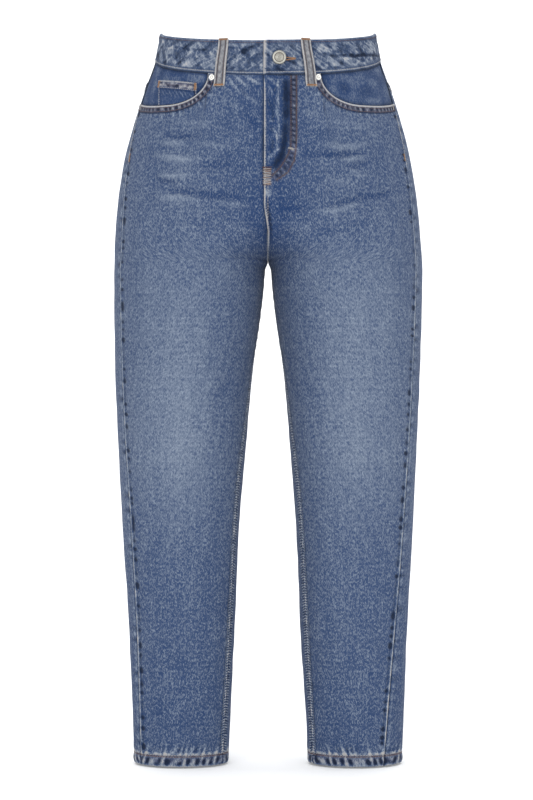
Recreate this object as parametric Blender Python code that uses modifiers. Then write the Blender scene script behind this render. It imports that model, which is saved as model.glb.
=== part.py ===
"""High-rise mom jeans in denim, filled out and empty, held at the waist.

Metres, +Z up. The front faces -Y and +X is the wearer's left. The origin is the centre of the waist ring,
half way up the sides of the waistband. Every piece is a wall of cloth laid on one body form: a ring of
elliptical sections that parts into two leg tubes at the crotch. A place on the form is an angle and a
height: the angle is 0 at the outer side, negative towards the front and positive towards the back.
"""
import math
from typing import NamedTuple

import bmesh
import bpy
from mathutils import Vector

MM = 0.001

# Cloth walls, and the gaps that keep neighbouring pieces apart
DENIM_WALL = 1.25 * MM
HEM_WALL = 2.6 * MM
BAND_WALL = 3.0 * MM
LOOP_WALL = 1.6 * MM
COIN_WALL = 1.0 * MM
SEAM_GAP = 0.5 * MM
HEM_EASE = 0.45 * MM
LAY_GAP = 0.3 * MM

# Heights
RIM_SIDE = 18.3 * MM
RIM_FRONT_DROP = 22.6 * MM
RIM_BACK_RISE = 1.7 * MM
SEAM_SIDE = -16.1 * MM
SEAM_FRONT_DROP = 31.7 * MM
SEAM_BACK_DROP = 4.0 * MM
CROTCH = -276.0 * MM
HEM_TOP = -908.0 * MM
HEM = -923.0 * MM
HEM_STEP = 1.5 * MM

# The legs part from each other over these heights above the crotch
FRONT_FORK = 135.0 * MM
BACK_FORK = 170.0 * MM

# Centre front: the lap edge lies a little to the wearer's right of the middle
LAP_X = -4.6 * MM
LAP_LIFT = DENIM_WALL + 0.75 * MM
LAP_FULL_TO = -212.0 * MM
LAP_END = -243.0 * MM
LAP_FLAT = -262.0 * MM
BAND_PROUD = 0.8 * MM
BAND_LIFT = BAND_WALL + LAY_GAP
BAND_LIFT_TO = -75.0
BAND_LIFT_FADE = 13.0
UNDERLAP_X = 33.0 * MM

# Hand pockets: a quarter ellipse from the band, then a shallow rise to the side seam
POCKET_REACH = 70.7 * MM
POCKET_WIDE = 50.0 * MM
POCKET_DEEP = 38.0 * MM
POCKET_RISE = 8.0 * MM
FACING_HIDDEN = 12.0 * MM
FACING_OUT = -(DENIM_WALL + LAY_GAP)
FACING_LAP = 2.0 * MM

# Coin pocket, on the wearer's right facing
COIN_INNER_X = 90.2 * MM
COIN_OUTER_X = 139.9 * MM
COIN_INNER_TOP = -56.3 * MM
COIN_OUTER_TOP = -47.6 * MM

# Yoke and back pockets
YOKE_SIDE = -54.0 * MM
YOKE_CENTRE = -95.0 * MM
BACK_POCKET_GAP = 0.7 * MM
BACK_POCKET_X = 40.0 * MM
BACK_POCKET_WIDE = 140.0 * MM
BACK_POCKET_FOOT = 122.0 * MM
BACK_POCKET_TOP = -122.0 * MM
BACK_POCKET_SLOPE = 10.0 * MM
BACK_POCKET_SIDE = -240.0 * MM
BACK_POCKET_POINT = 20.0 * MM

# Belt loops
LOOP_WIDE = 12.0 * MM
LOOP_GAP = 0.5 * MM
LOOP_ABOVE = 1.5 * MM
LOOP_BELOW = 16.0 * MM
LOOP_BULGE = 2.6 * MM

# Metal
BUTTON_X = 13.7 * MM
BUTTON_Z = -27.3 * MM
RIVET_LEFT_X = 63.0 * MM
RIVET_RIGHT_X = -70.6 * MM
RIVET_Z = -50.0 * MM
TURN_STEPS = 24

# Mesh density
RISE_ROWS = 14
LEG_ROWS = 16
FAN_ROWS = 19
SHAPED_ROWS = 8
WAIST_COLUMNS = 4
CURVE_COLUMNS = 7
TAIL_COLUMNS = 3
BACK_COLUMNS = 14
BAND_BACK_STEPS = 30
BAND_FRONT_STEPS = 16


class Level(NamedTuple):
    """One height of the body form, in mm."""

    z: float
    outer: float
    inner: float
    front: float
    back: float


LEVELS = (
    Level(40.0, 136.5, 0.2, 90.0, 87.0),
    Level(18.0, 139.2, 0.2, 91.0, 87.5),
    Level(-17.0, 145.5, 0.2, 93.0, 92.0),
    Level(-54.0, 159.0, 0.2, 97.0, 103.0),
    Level(-93.0, 172.0, 0.2, 101.0, 115.0),
    Level(-145.0, 186.0, 0.2, 104.0, 126.0),
    Level(-197.0, 194.3, 0.2, 105.0, 130.0),
    Level(-249.0, 198.8, 0.2, 103.0, 126.0),
    Level(-276.0, 199.7, 0.2, 101.5, 120.5),
    Level(-287.0, 199.9, 4.3, 100.8, 118.0),
    Level(-313.0, 200.0, 6.4, 99.0, 111.5),
    Level(-352.0, 199.4, 10.8, 96.0, 103.0),
    Level(-417.0, 197.5, 19.4, 90.5, 91.5),
    Level(-495.0, 194.2, 26.6, 84.0, 80.5),
    Level(-586.0, 188.6, 34.3, 76.0, 70.0),
    Level(-689.0, 183.0, 39.8, 68.0, 60.0),
    Level(-793.0, 178.0, 44.6, 60.0, 52.0),
    Level(-923.0, 173.0, 51.5, 52.0, 44.0),
)


class Seam(NamedTuple):
    """How far forward of the outer side the leg seams run at one height, in degrees."""

    z: float
    side_left: float
    side_right: float
    inseam: float


SEAMS = (
    Seam(40.0, 7.0, 1.0, 180.0),
    Seam(-40.0, 10.5, 6.0, 180.0),
    Seam(-90.0, 15.5, 10.5, 180.0),
    Seam(-140.0, 18.0, 15.3, 180.0),
    Seam(-185.0, 20.0, 18.5, 180.0),
    Seam(-225.0, 23.5, 23.0, 180.0),
    Seam(-276.0, 27.0, 28.0, 180.0),
    Seam(-350.0, 29.4, 29.0, 177.0),
    Seam(-440.0, 32.4, 30.0, 168.0),
    Seam(-550.0, 34.5, 31.8, 158.0),
    Seam(-640.0, 37.0, 33.6, 155.0),
    Seam(-740.0, 42.3, 35.4, 154.0),
    Seam(-840.0, 49.0, 35.2, 152.0),
    Seam(-923.0, 54.5, 34.5, 151.0),
)


class Loop(NamedTuple):
    """A belt loop: its place round the waist at the rim and at its foot, in degrees."""

    name: str
    rim: float
    foot: float


LOOPS = (
    Loop("belt_loop_front_left", -71.0, -70.2),
    Loop("belt_loop_side_left", 36.0, 36.0),
    Loop("belt_loop_back", 90.0, 90.0),
    Loop("belt_loop_side_right", 144.0, 144.0),
    Loop("belt_loop_front_right", 247.0, 247.6),
)


class Finish(NamedTuple):
    """A material: colour, roughness and metallic value."""

    color: tuple
    roughness: float
    metallic: float


BLUE_DENIM = Finish((0.085, 0.165, 0.330), 0.85, 0.0)
PALE_DENIM = Finish((0.140, 0.230, 0.410), 0.85, 0.0)
DARK_DENIM = Finish((0.050, 0.105, 0.235), 0.88, 0.0)
ANTIQUE_SILVER = Finish((0.62, 0.60, 0.55), 0.35, 1.0)


def clamp(value, low=0.0, high=1.0):
    """Keep a value between two limits."""
    return max(low, min(high, value))


def mix(start, end, share):
    """Blend two values."""
    return start + (end - start) * share


def ease(start, end, value):
    """Rise smoothly from 0 at start to 1 at end."""
    share = clamp((value - start) / (end - start))
    return share * share * (3.0 - 2.0 * share)


def read_table(rows, column, z):
    """Return a column at height z on a smooth curve that never overshoots the rows.

    The rows run from the top down and hold their height, in mm, in the column z.
    """
    height = clamp(z / MM, rows[-1].z, rows[0].z)
    heights = [row.z for row in rows]
    values = [getattr(row, column) for row in rows]
    last = len(rows) - 2
    low = next((i for i in range(last + 1) if height >= heights[i + 1]), last)
    slopes = [(values[i + 1] - values[i]) / (heights[i + 1] - heights[i]) for i in range(last + 1)]

    def tangent(i):
        if i == 0 or i == last + 1:
            return slopes[min(i, last)]
        before, after = slopes[i - 1], slopes[i]
        if before * after <= 0.0:
            return 0.0
        return 2.0 * before * after / (before + after)

    step = heights[low + 1] - heights[low]
    t = (height - heights[low]) / step
    return (
        values[low] * (2.0 * t**3 - 3.0 * t**2 + 1.0)
        + tangent(low) * step * (t**3 - 2.0 * t**2 + t)
        + values[low + 1] * (3.0 * t**2 - 2.0 * t**3)
        + tangent(low + 1) * step * (t**3 - t**2)
    )


def section(angle, z):
    """Return centre x, reach x, centre y and reach y of one half of the form at a height."""
    outer, inner, front, back = (read_table(LEVELS, name, z) * MM for name in Level._fields[1:])
    centre_y = (back - front) / 2.0
    reach_y = (back + front) / 2.0
    if z < CROTCH:
        parted = 1.0
    else:
        fork = FRONT_FORK if math.sin(angle) < 0.0 else BACK_FORK
        parted = clamp(1.0 - (z - CROTCH) / fork) ** 2
    reach_x = (outer - inner * parted) / (1.0 + parted)
    return outer - reach_x, reach_x, centre_y, reach_y


def form_point(angle, z):
    """Return a point of the form's left half."""
    centre_x, reach_x, centre_y, reach_y = section(angle, z)
    return Vector((centre_x + reach_x * math.cos(angle), centre_y + reach_y * math.sin(angle), z))


def form_normal(angle, z):
    """Return the outward direction of the form's left half."""
    turn, rise = 0.01, 0.5 * MM
    along = form_point(angle + turn, z) - form_point(angle - turn, z)
    upward = form_point(angle, z + rise) - form_point(angle, z - rise)
    return along.cross(upward).normalized()


def body_point(side, angle, z, out=0.0):
    """Return a point that stands out from the form, on the left (side 1) or the right (side -1)."""
    point = form_point(angle, z) + form_normal(angle, z) * out
    return Vector((side * point.x, point.y, point.z))


def front_angle(x, z):
    """Return the angle of the front at a distance x from the middle plane."""
    centre_x, reach_x, _, _ = section(-1.0, z)
    return -math.acos(clamp((x - centre_x) / reach_x, -1.0, 1.0))


def back_angle(x, z):
    """Return the angle of the back at a distance x from the middle plane."""
    centre_x, reach_x, _, _ = section(1.0, z)
    return math.acos(clamp((x - centre_x) / reach_x, -1.0, 1.0))


def walk(angle, z, distance):
    """Return the angle that lies a distance further along the section."""
    steps = max(1, round(abs(distance) / (4.0 * MM)))
    for _ in range(steps):
        _, reach_x, _, reach_y = section(angle, z)
        speed = math.hypot(reach_x * math.sin(angle), reach_y * math.cos(angle))
        angle += distance / steps / speed
    return angle


def rim_height(angle):
    """Return the height of the waistband's top edge."""
    lean = math.sin(angle)
    return RIM_SIDE + (RIM_FRONT_DROP * lean if lean < 0.0 else RIM_BACK_RISE * lean)


def seam_height(angle):
    """Return the height of the seam under the waistband."""
    lean = math.sin(angle)
    return SEAM_SIDE + (SEAM_FRONT_DROP * lean if lean < 0.0 else -SEAM_BACK_DROP * lean)


def side_seam(side, z):
    """Return the angle of the side seam."""
    column = "side_left" if side > 0 else "side_right"
    return -math.radians(read_table(SEAMS, column, z))


def seam_ease(z):
    """Return how far a panel's edge stays back from its seam line, more where the hem is thick."""
    return SEAM_GAP / 2.0 + (HEM_EASE if z < HEM_TOP else 0.0)


def front_edges(side, z):
    """Return the angles of a front panel's inner and outer edges at a height."""
    gap = seam_ease(z)
    outer = walk(side_seam(side, z), z, -gap)
    if z > CROTCH:
        return front_angle(gap, z), outer
    inseam = -math.radians(read_table(SEAMS, "inseam", z))
    return walk(inseam, z, gap), outer


def back_edges(side, z):
    """Return the angles of a back panel's inner and outer edges at a height."""
    gap = seam_ease(z)
    outer = walk(side_seam(side, z), z, gap)
    if z > CROTCH:
        return back_angle(gap, z), outer
    inseam = 2.0 * math.pi - math.radians(read_table(SEAMS, "inseam", z))
    return walk(inseam, z, -gap), outer


def row_heights(inner_top, outer_top):
    """Return the height of each row at the inner and the outer edge of a panel.

    The inner ends crowd towards the crotch. The outer ends are even down to the row where both agree.
    """
    inner = [mix(CROTCH, inner_top, (1.0 - i / RISE_ROWS) ** 2) for i in range(RISE_ROWS + 1)]
    inner += [mix(CROTCH, HEM_TOP, (i / LEG_ROWS) ** 1.9) for i in range(1, LEG_ROWS + 1)]
    outer = [mix(outer_top, inner[FAN_ROWS], i / FAN_ROWS) for i in range(FAN_ROWS)]
    outer += inner[FAN_ROWS:]
    hem = [HEM_TOP - HEM_STEP, HEM]
    return list(zip(inner + hem, outer + hem))


def panel_places(top, edges):
    """Return rows of angle and height for a panel, from its shaped top edge to the hem.

    top is the top edge, from the inner to the outer end, as pairs of angle and height.
    edges gives the panel's inner and outer angles at a height.
    """
    count = len(top) - 1
    rows = row_heights(top[0][1], top[-1][1])
    first, last = edges(top[0][1])[0], edges(top[-1][1])[1]
    shares = [(angle - first) / (last - first) for angle, _ in top]
    places = []
    for number, (inner_z, outer_z) in enumerate(rows):
        shaped = 1.0 - ease(0.0, SHAPED_ROWS, number)
        start, end = edges(inner_z)[0], edges(outer_z)[1]
        row = []
        for i, (_, top_z) in enumerate(top):
            share = mix(i / count, shares[i], shaped)
            plain_top = mix(rows[0][0], rows[0][1], shares[i])
            z = mix(inner_z, outer_z, share) + (top_z - plain_top) * shaped
            row.append((mix(start, end, share), z))
        places.append(row)
    return places


def pocket_curve(side, grow=0.0, curve_steps=CURVE_COLUMNS, tail_steps=TAIL_COLUMNS):
    """Return the mouth of a hand pocket as pairs of angle and height, from the band to the side seam."""
    start_x = POCKET_REACH + side * LAP_X - grow
    start_z = seam_height(front_angle(start_x, SEAM_SIDE - SEAM_FRONT_DROP)) - SEAM_GAP
    places = []
    for i in range(curve_steps + 1):
        turn = math.pi / 2.0 * i / curve_steps
        x = start_x + (POCKET_WIDE + grow) * (1.0 - math.cos(turn))
        z = start_z - (POCKET_DEEP + grow) * math.sin(turn)
        places.append((front_angle(x, z), z))
    low_angle, low_z = places[-1]
    end_z = low_z + POCKET_RISE
    end_angle = front_edges(side, end_z)[1]
    for i in range(1, tail_steps + 1):
        share = i / tail_steps
        places.append((mix(low_angle, end_angle, share), low_z + POCKET_RISE * share**2))
    return places


def front_top(side):
    """Return a front panel's top edge: the waist seam, then the pocket mouth."""
    start = front_edges(side, SEAM_SIDE - SEAM_FRONT_DROP)[0]
    mouth = pocket_curve(side)
    waist = [mix(start, mouth[0][0], i / WAIST_COLUMNS) for i in range(WAIST_COLUMNS)]
    return [(angle, seam_height(angle) - SEAM_GAP) for angle in waist] + mouth


def yoke_height(side, angle):
    """Return the height of the seam between yoke and back panel."""
    start = side_seam(side, YOKE_SIDE)
    return mix(YOKE_SIDE, YOKE_CENTRE, (angle - start) / (math.pi / 2.0 - start))


def yoke_line(side, drop):
    """Return a line along the yoke seam from the centre back to the side seam."""
    inner = back_edges(side, YOKE_CENTRE)[0]
    outer = back_edges(side, YOKE_SIDE)[1]
    angles = [mix(inner, outer, i / BACK_COLUMNS) for i in range(BACK_COLUMNS + 1)]
    return [(angle, yoke_height(side, angle) + drop) for angle in angles]


def ring_point(turn, z, out=0.0):
    """Return a point round the waist: 0 left side, 90 back, 180 right side, 270 or -90 front."""
    turn = (turn + 180.0) % 360.0 - 180.0
    if abs(turn) <= 90.0:
        return body_point(1, math.radians(turn), z, out)
    return body_point(-1, math.radians(math.copysign(180.0, turn) - turn), z, out)


def band_out(turn):
    """Return how far the waistband's outer skin stands out, more where it laps over its other end."""
    return BAND_PROUD + BAND_LIFT * (1.0 - ease(BAND_LIFT_TO, BAND_LIFT_TO + BAND_LIFT_FADE, turn))


def new_material(name, finish):
    """Return a new Principled material."""
    material = bpy.data.materials.new(name)
    material.use_nodes = True
    shader = material.node_tree.nodes["Principled BSDF"]
    shader.inputs["Base Color"].default_value = (*finish.color, 1.0)
    shader.inputs["Roughness"].default_value = finish.roughness
    shader.inputs["Metallic"].default_value = finish.metallic
    return material


def add_object(name, mesh, finish, parts):
    """Add an object with its own material to the collection of parts."""
    mesh.materials.append(new_material(name, finish))
    piece = bpy.data.objects.new(name, mesh)
    parts.objects.link(piece)
    return piece


def crest_split(a, b, c, d, flip):
    """Split a quad into two triangles along the diagonal that stands further out."""
    outward = (c.co - a.co).cross(d.co - b.co) * (-1.0 if flip else 1.0)
    if (a.co + c.co - b.co - d.co).dot(outward) > 0.0:
        return [(a, b, c), (a, c, d)]
    return [(a, b, d), (b, c, d)]


def add_cloth(name, grid, wall, finish, parts, flip=False, flap=(), hem_rows=0):
    """Add a sheet of cloth: an open grid of outer points, made solid inwards.

    flap is a column of points laid before the first column, which narrows to nothing at its end.
    The last hem_rows rows are the turned-up hem, which is thicker than the rest.
    """
    work = bmesh.new()
    rows = [[work.verts.new(point) for point in row] for row in grid]
    loops = []
    for upper, lower in zip(rows, rows[1:]):
        for i in range(len(upper) - 1):
            loops += crest_split(upper[i], lower[i], lower[i + 1], upper[i + 1], flip)
    extra = [work.verts.new(point) for point in flap]
    for i in range(len(extra) - 1):
        loops += crest_split(extra[i], extra[i + 1], rows[i + 1][0], rows[i][0], flip)
    if extra:
        loops.append((extra[-1], rows[len(extra)][0], rows[len(extra) - 1][0]))
    for loop in loops:
        work.faces.new(reversed(loop) if flip else loop)
    work.verts.index_update()
    hem = [vertex.index for row in rows[len(rows) - hem_rows:] for vertex in row]
    mesh = bpy.data.meshes.new(name)
    work.to_mesh(mesh)
    work.free()
    mesh.shade_smooth()
    piece = add_object(name, mesh, finish, parts)
    solid = piece.modifiers.new("wall", "SOLIDIFY")
    solid.thickness = HEM_WALL if hem_rows else wall
    solid.offset = -1.0
    solid.use_even_offset = False
    solid.use_quality_normals = True
    if hem_rows:
        group = piece.vertex_groups.new(name="hem")
        group.add(hem, 1.0, "REPLACE")
        solid.vertex_group = group.name
        solid.thickness_vertex_group = wall / HEM_WALL
    return piece


def add_turned(name, profile, base, normal, finish, parts):
    """Add a round metal piece turned from a profile of radius and height, standing on the cloth."""
    work = bmesh.new()
    verts = [work.verts.new((radius, 0.0, height)) for radius, height in profile]
    for start, end in zip(verts, verts[1:]):
        work.edges.new((start, end))
    mesh = bpy.data.meshes.new(name)
    work.to_mesh(mesh)
    work.free()
    piece = add_object(name, mesh, finish, parts)
    piece.location = base
    piece.rotation_euler = normal.to_track_quat("Z", "Y").to_euler()
    screw = piece.modifiers.new("turn", "SCREW")
    screw.steps = TURN_STEPS
    screw.render_steps = TURN_STEPS
    screw.use_merge_vertices = True
    screw.merge_threshold = 0.00001
    screw.use_smooth_shade = True
    return piece


def add_front(side, name, parts):
    """Add a front panel. The left one has the fly lap, which stands over the right one."""
    places = panel_places(front_top(side), lambda z: front_edges(side, z))
    grid = []
    flap = []
    for row in places:
        z = row[0][1]
        grid.append([body_point(side, angle, height) for angle, height in row])
        if side < 0:
            continue
        lift = Vector((0.0, -LAP_LIFT * ease(LAP_FLAT, LAP_END, z), 0.0))
        grid[-1][0] += lift
        lap_x = mix(LAP_X, 0.0, clamp((LAP_FULL_TO - z) / (LAP_FULL_TO - LAP_END)))
        if lap_x < -0.5 * MM:
            flap.append(body_point(-1, front_angle(-lap_x, z), z) + lift)
    add_cloth(name, grid, DENIM_WALL, BLUE_DENIM, parts, side < 0, flap, hem_rows=2)


def add_back(side, name, parts):
    """Add a back panel, from the yoke seam to the hem."""
    places = panel_places(yoke_line(side, -SEAM_GAP / 2.0), lambda z: back_edges(side, z))
    grid = [[body_point(side, angle, z) for angle, z in row] for row in places]
    add_cloth(name, grid, DENIM_WALL, BLUE_DENIM, parts, side > 0, hem_rows=2)


def add_yoke(side, name, parts):
    """Add a yoke, between the waistband and the back panel."""
    grid = []
    row_count = 6
    for number in range(row_count + 1):
        row = []
        for angle, low in yoke_line(side, SEAM_GAP / 2.0):
            high = seam_height(angle) - SEAM_GAP
            z = mix(high, low, number / row_count)
            edge = back_edges(side, z)
            row.append(body_point(side, clamp(angle, edge[1], edge[0]), z))
        row[-1] = body_point(side, back_edges(side, row[-1].z)[1], row[-1].z)
        grid.append(row)
    add_cloth(name, grid, DENIM_WALL, BLUE_DENIM, parts, side > 0)


def add_facing(side, name, parts):
    """Add the denim facing behind a pocket mouth, from the waist seam to under the front panel."""
    low = pocket_curve(side, FACING_HIDDEN)[2:]
    grid = []
    row_count = 4
    for number in range(row_count + 1):
        row = []
        for i, (angle, z) in enumerate(low):
            if i == len(low) - 1:
                angle = walk(angle, z, FACING_LAP)
            height = mix(seam_height(angle) - SEAM_GAP, z, number / row_count)
            row.append(body_point(side, angle, height, FACING_OUT))
        grid.append(row)
    add_cloth(name, grid, DENIM_WALL, DARK_DENIM, parts, side < 0)


def add_coin_pocket(name, parts):
    """Add the coin pocket, a patch on the right facing that runs down to the pocket mouth."""
    mouth = pocket_curve(-1, curve_steps=24, tail_steps=24)
    mouth_x = [form_point(angle, z).x for angle, z in mouth]
    column_count, row_count = 6, 3
    columns = []
    for i in range(column_count + 1):
        share = i / column_count
        x = mix(COIN_INNER_X, COIN_OUTER_X, share)
        after = next(k for k, value in enumerate(mouth_x) if value >= x)
        part = (x - mouth_x[after - 1]) / (mouth_x[after] - mouth_x[after - 1])
        low = mix(mouth[after - 1][1], mouth[after][1], part) + 3.0 * SEAM_GAP
        columns.append((x, mix(COIN_INNER_TOP, COIN_OUTER_TOP, share), low))
    grid = []
    for number in range(row_count + 1):
        heights = [(x, mix(high, low, number / row_count)) for x, high, low in columns]
        out = FACING_OUT + LAY_GAP + COIN_WALL
        grid.append([body_point(-1, front_angle(x, z), z, out) for x, z in heights])
    add_cloth(name, grid, COIN_WALL, BLUE_DENIM, parts, True)


def add_back_pocket(side, name, parts):
    """Add a back patch pocket with a shallow point, on the back panel."""
    column_count, row_count = 8, 7
    out = BACK_POCKET_GAP + DENIM_WALL
    grid = []
    for number in range(row_count + 1):
        share = number / row_count
        row = []
        for i in range(column_count + 1):
            across = i / column_count
            top = BACK_POCKET_TOP + BACK_POCKET_SLOPE * across
            foot = BACK_POCKET_SIDE - BACK_POCKET_POINT * (1.0 - abs(2.0 * across - 1.0))
            z = mix(top, foot, share)
            wide = mix(BACK_POCKET_WIDE, BACK_POCKET_FOOT, share)
            inset = (BACK_POCKET_WIDE - wide) / 2.0
            angle = walk(back_angle(BACK_POCKET_X, z), z, -inset - wide * across)
            row.append(body_point(side, angle, z, out))
        grid.append(row)
    add_cloth(name, grid, DENIM_WALL, BLUE_DENIM, parts, side > 0)


def add_waistband(name, parts):
    """Add the waistband, from its lap edge round the back to the hidden end under the lap."""
    waist = section(-1.0, 0.0)[1]
    start = -90.0 + math.degrees(math.asin(LAP_X / waist))
    end = 270.0 + math.degrees(math.asin(UNDERLAP_X / waist))
    turns = [mix(start, 0.0, i / BAND_FRONT_STEPS) for i in range(BAND_FRONT_STEPS)]
    turns += [180.0 * i / BAND_BACK_STEPS for i in range(BAND_BACK_STEPS)]
    turns += [mix(180.0, end, i / BAND_FRONT_STEPS) for i in range(BAND_FRONT_STEPS + 1)]
    grid = []
    row_count = 2
    for number in range(row_count + 1):
        row = []
        for turn in turns:
            lean = math.radians(turn)
            z = mix(rim_height(lean), seam_height(lean), number / row_count)
            row.append(ring_point(turn, z, band_out(turn)))
        grid.append(row)
    add_cloth(name, grid, BAND_WALL, PALE_DENIM, parts)


def add_belt_loop(loop, parts):
    """Add a belt loop, held at the rim and below the band and bulging clear of it between."""
    row_count = 12
    grid = []
    waist_z = 0.0
    for number in range(row_count + 1):
        share = number / row_count
        middle = mix(loop.rim, loop.foot, share)
        lean = math.radians(middle)
        z = mix(rim_height(lean) + LOOP_ABOVE, seam_height(lean) - LOOP_BELOW, share)
        bulge = LOOP_BULGE * math.sin(math.pi * clamp((share - 0.08) / 0.78)) ** 2
        half = math.degrees(walk(lean, waist_z, LOOP_WIDE / 2.0) - lean)
        row = []
        for turn in (middle - half, middle + half):
            seat = mix(band_out(turn), 0.0, ease(0.74, 0.90, share))
            row.append(ring_point(turn, z, seat + LOOP_GAP + bulge + LOOP_WALL))
        grid.append(row)
    add_cloth(loop.name, grid, LOOP_WALL, BLUE_DENIM, parts)


def add_button(name, parts):
    """Add the shank button on the waistband's lap."""
    profile = (
        (0.0, 3.5), (2.4, 3.5), (2.9, 3.2), (5.4, 3.2), (6.0, 3.8), (7.6, 3.9),
        (8.6, 3.5), (8.9, 2.9), (8.5, 2.2), (3.2, 1.8), (3.2, 0.0), (0.0, 0.0),
    )
    angle = front_angle(BUTTON_X, BUTTON_Z)
    lift = BAND_PROUD + BAND_LIFT + LAY_GAP
    normal = form_normal(angle, BUTTON_Z)
    sizes = [(radius * MM, height * MM) for radius, height in profile]
    add_turned(name, sizes, form_point(angle, BUTTON_Z) + normal * lift, normal, ANTIQUE_SILVER, parts)


def add_rivet(name, x, parts):
    """Add a rivet at the inner end of a pocket mouth."""
    profile = (
        (0.0, 1.0), (1.0, 1.0), (1.5, 0.7), (2.1, 0.8), (2.8, 1.2), (3.3, 1.0), (3.6, 0.4), (3.6, 0.0), (0.0, 0.0),
    )
    side = 1 if x > 0.0 else -1
    angle = front_angle(abs(x), RIVET_Z)
    normal = form_normal(angle, RIVET_Z)
    normal.x *= side
    sizes = [(radius * MM, height * MM) for radius, height in profile]
    base = body_point(side, angle, RIVET_Z, LAY_GAP)
    add_turned(name, sizes, base, normal, ANTIQUE_SILVER, parts)


def clear_scene():
    """Remove every object of the open scene."""
    for piece in list(bpy.data.objects):
        bpy.data.objects.remove(piece, do_unlink=True)


def main():
    """Build every piece of the jeans."""
    clear_scene()
    parts = bpy.data.collections.new("mom_jeans")
    bpy.context.scene.collection.children.link(parts)
    for side, word in ((1, "left"), (-1, "right")):
        add_front(side, f"front_{word}", parts)
        add_back(side, f"back_{word}", parts)
        add_yoke(side, f"yoke_{word}", parts)
        add_facing(side, f"pocket_facing_{word}", parts)
        add_back_pocket(side, f"back_pocket_{word}", parts)
    add_coin_pocket("coin_pocket", parts)
    add_waistband("waistband", parts)
    for loop in LOOPS:
        add_belt_loop(loop, parts)
    add_button("button", parts)
    add_rivet("rivet_left", RIVET_LEFT_X, parts)
    add_rivet("rivet_right", RIVET_RIGHT_X, parts)


main()
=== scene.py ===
"""Washed denim mom jeans with no wearer: cloth, seams, thread, metal and studio, on the shared frame."""
import logging
import math
from dataclasses import dataclass, field
from enum import Enum, IntEnum
from typing import Any, Callable, NamedTuple, Sequence

import bpy
import numpy as np
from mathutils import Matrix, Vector


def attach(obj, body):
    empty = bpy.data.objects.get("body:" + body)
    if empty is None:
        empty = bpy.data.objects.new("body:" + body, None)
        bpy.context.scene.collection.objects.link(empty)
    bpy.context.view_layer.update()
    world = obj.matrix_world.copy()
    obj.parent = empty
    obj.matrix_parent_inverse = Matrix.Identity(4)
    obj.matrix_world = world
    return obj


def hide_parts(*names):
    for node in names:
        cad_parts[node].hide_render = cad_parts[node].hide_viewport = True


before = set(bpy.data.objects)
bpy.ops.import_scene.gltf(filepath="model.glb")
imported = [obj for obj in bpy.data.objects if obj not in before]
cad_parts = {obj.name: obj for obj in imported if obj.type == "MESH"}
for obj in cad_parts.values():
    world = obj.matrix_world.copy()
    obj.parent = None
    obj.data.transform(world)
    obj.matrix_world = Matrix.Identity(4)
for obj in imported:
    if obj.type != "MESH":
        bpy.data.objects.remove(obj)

LOG = logging.getLogger("jeans")
MM = 0.001
SEED = 4127
# A distance beyond every piece, in metres
FAR = 9.0
Array = np.ndarray

# Cloth, in metres
DENIM_WALL = 1.25 * MM
HEM_WALL = 2.6 * MM
BAND_WALL = 3.0 * MM
LOOP_WALL = 1.6 * MM
COIN_WALL = 1.0 * MM
SEAM_GAP = 0.5 * MM
HEM_EASE = 0.45 * MM
LAY_GAP = 0.3 * MM

# Heights of the garment
RIM_SIDE = 18.3 * MM
RIM_FRONT_DROP = 22.6 * MM
RIM_BACK_RISE = 1.7 * MM
SEAM_SIDE = -16.1 * MM
SEAM_FRONT_DROP = 31.7 * MM
SEAM_BACK_DROP = 4.0 * MM
CROTCH = -276.0 * MM
HEM_TOP = -908.0 * MM
HEM = -923.0 * MM
FRONT_FORK = 135.0 * MM
BACK_FORK = 170.0 * MM

# Fly lap, pocket mouths, yoke and back pockets
LAP_X = -4.6 * MM
LAP_LIFT = DENIM_WALL + 0.75 * MM
LAP_FULL_TO = -212.0 * MM
LAP_END = -243.0 * MM
LAP_FLAT = -262.0 * MM
BAND_PROUD = 0.8 * MM
BAND_LIFT = BAND_WALL + LAY_GAP
UNDERLAP_X = 33.0 * MM
POCKET_REACH = 70.7 * MM
POCKET_WIDE = 50.0 * MM
POCKET_DEEP = 38.0 * MM
POCKET_RISE = 8.0 * MM
MOUTH_STEPS, TAIL_STEPS = 36, 20
FACING_HIDDEN = 12.0 * MM
FACING_OUT = -(DENIM_WALL + LAY_GAP)
YOKE_SIDE = -54.0 * MM
YOKE_CENTRE = -95.0 * MM


class Side(IntEnum):
    """A half of the garment, named as the wearer has it."""

    LEFT = 1
    RIGHT = -1

    @property
    def word(self) -> str:
        """Return left or right."""
        return self.name.lower()


class Way(IntEnum):
    """Which way a place on the form faces."""

    FRONT = -1
    BACK = 1


class Level(NamedTuple):
    """One height of the body form, in mm: reach to the sides, inwards, to the front and to the back."""

    z: float
    outer: float
    inner: float
    front: float
    back: float


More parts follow.
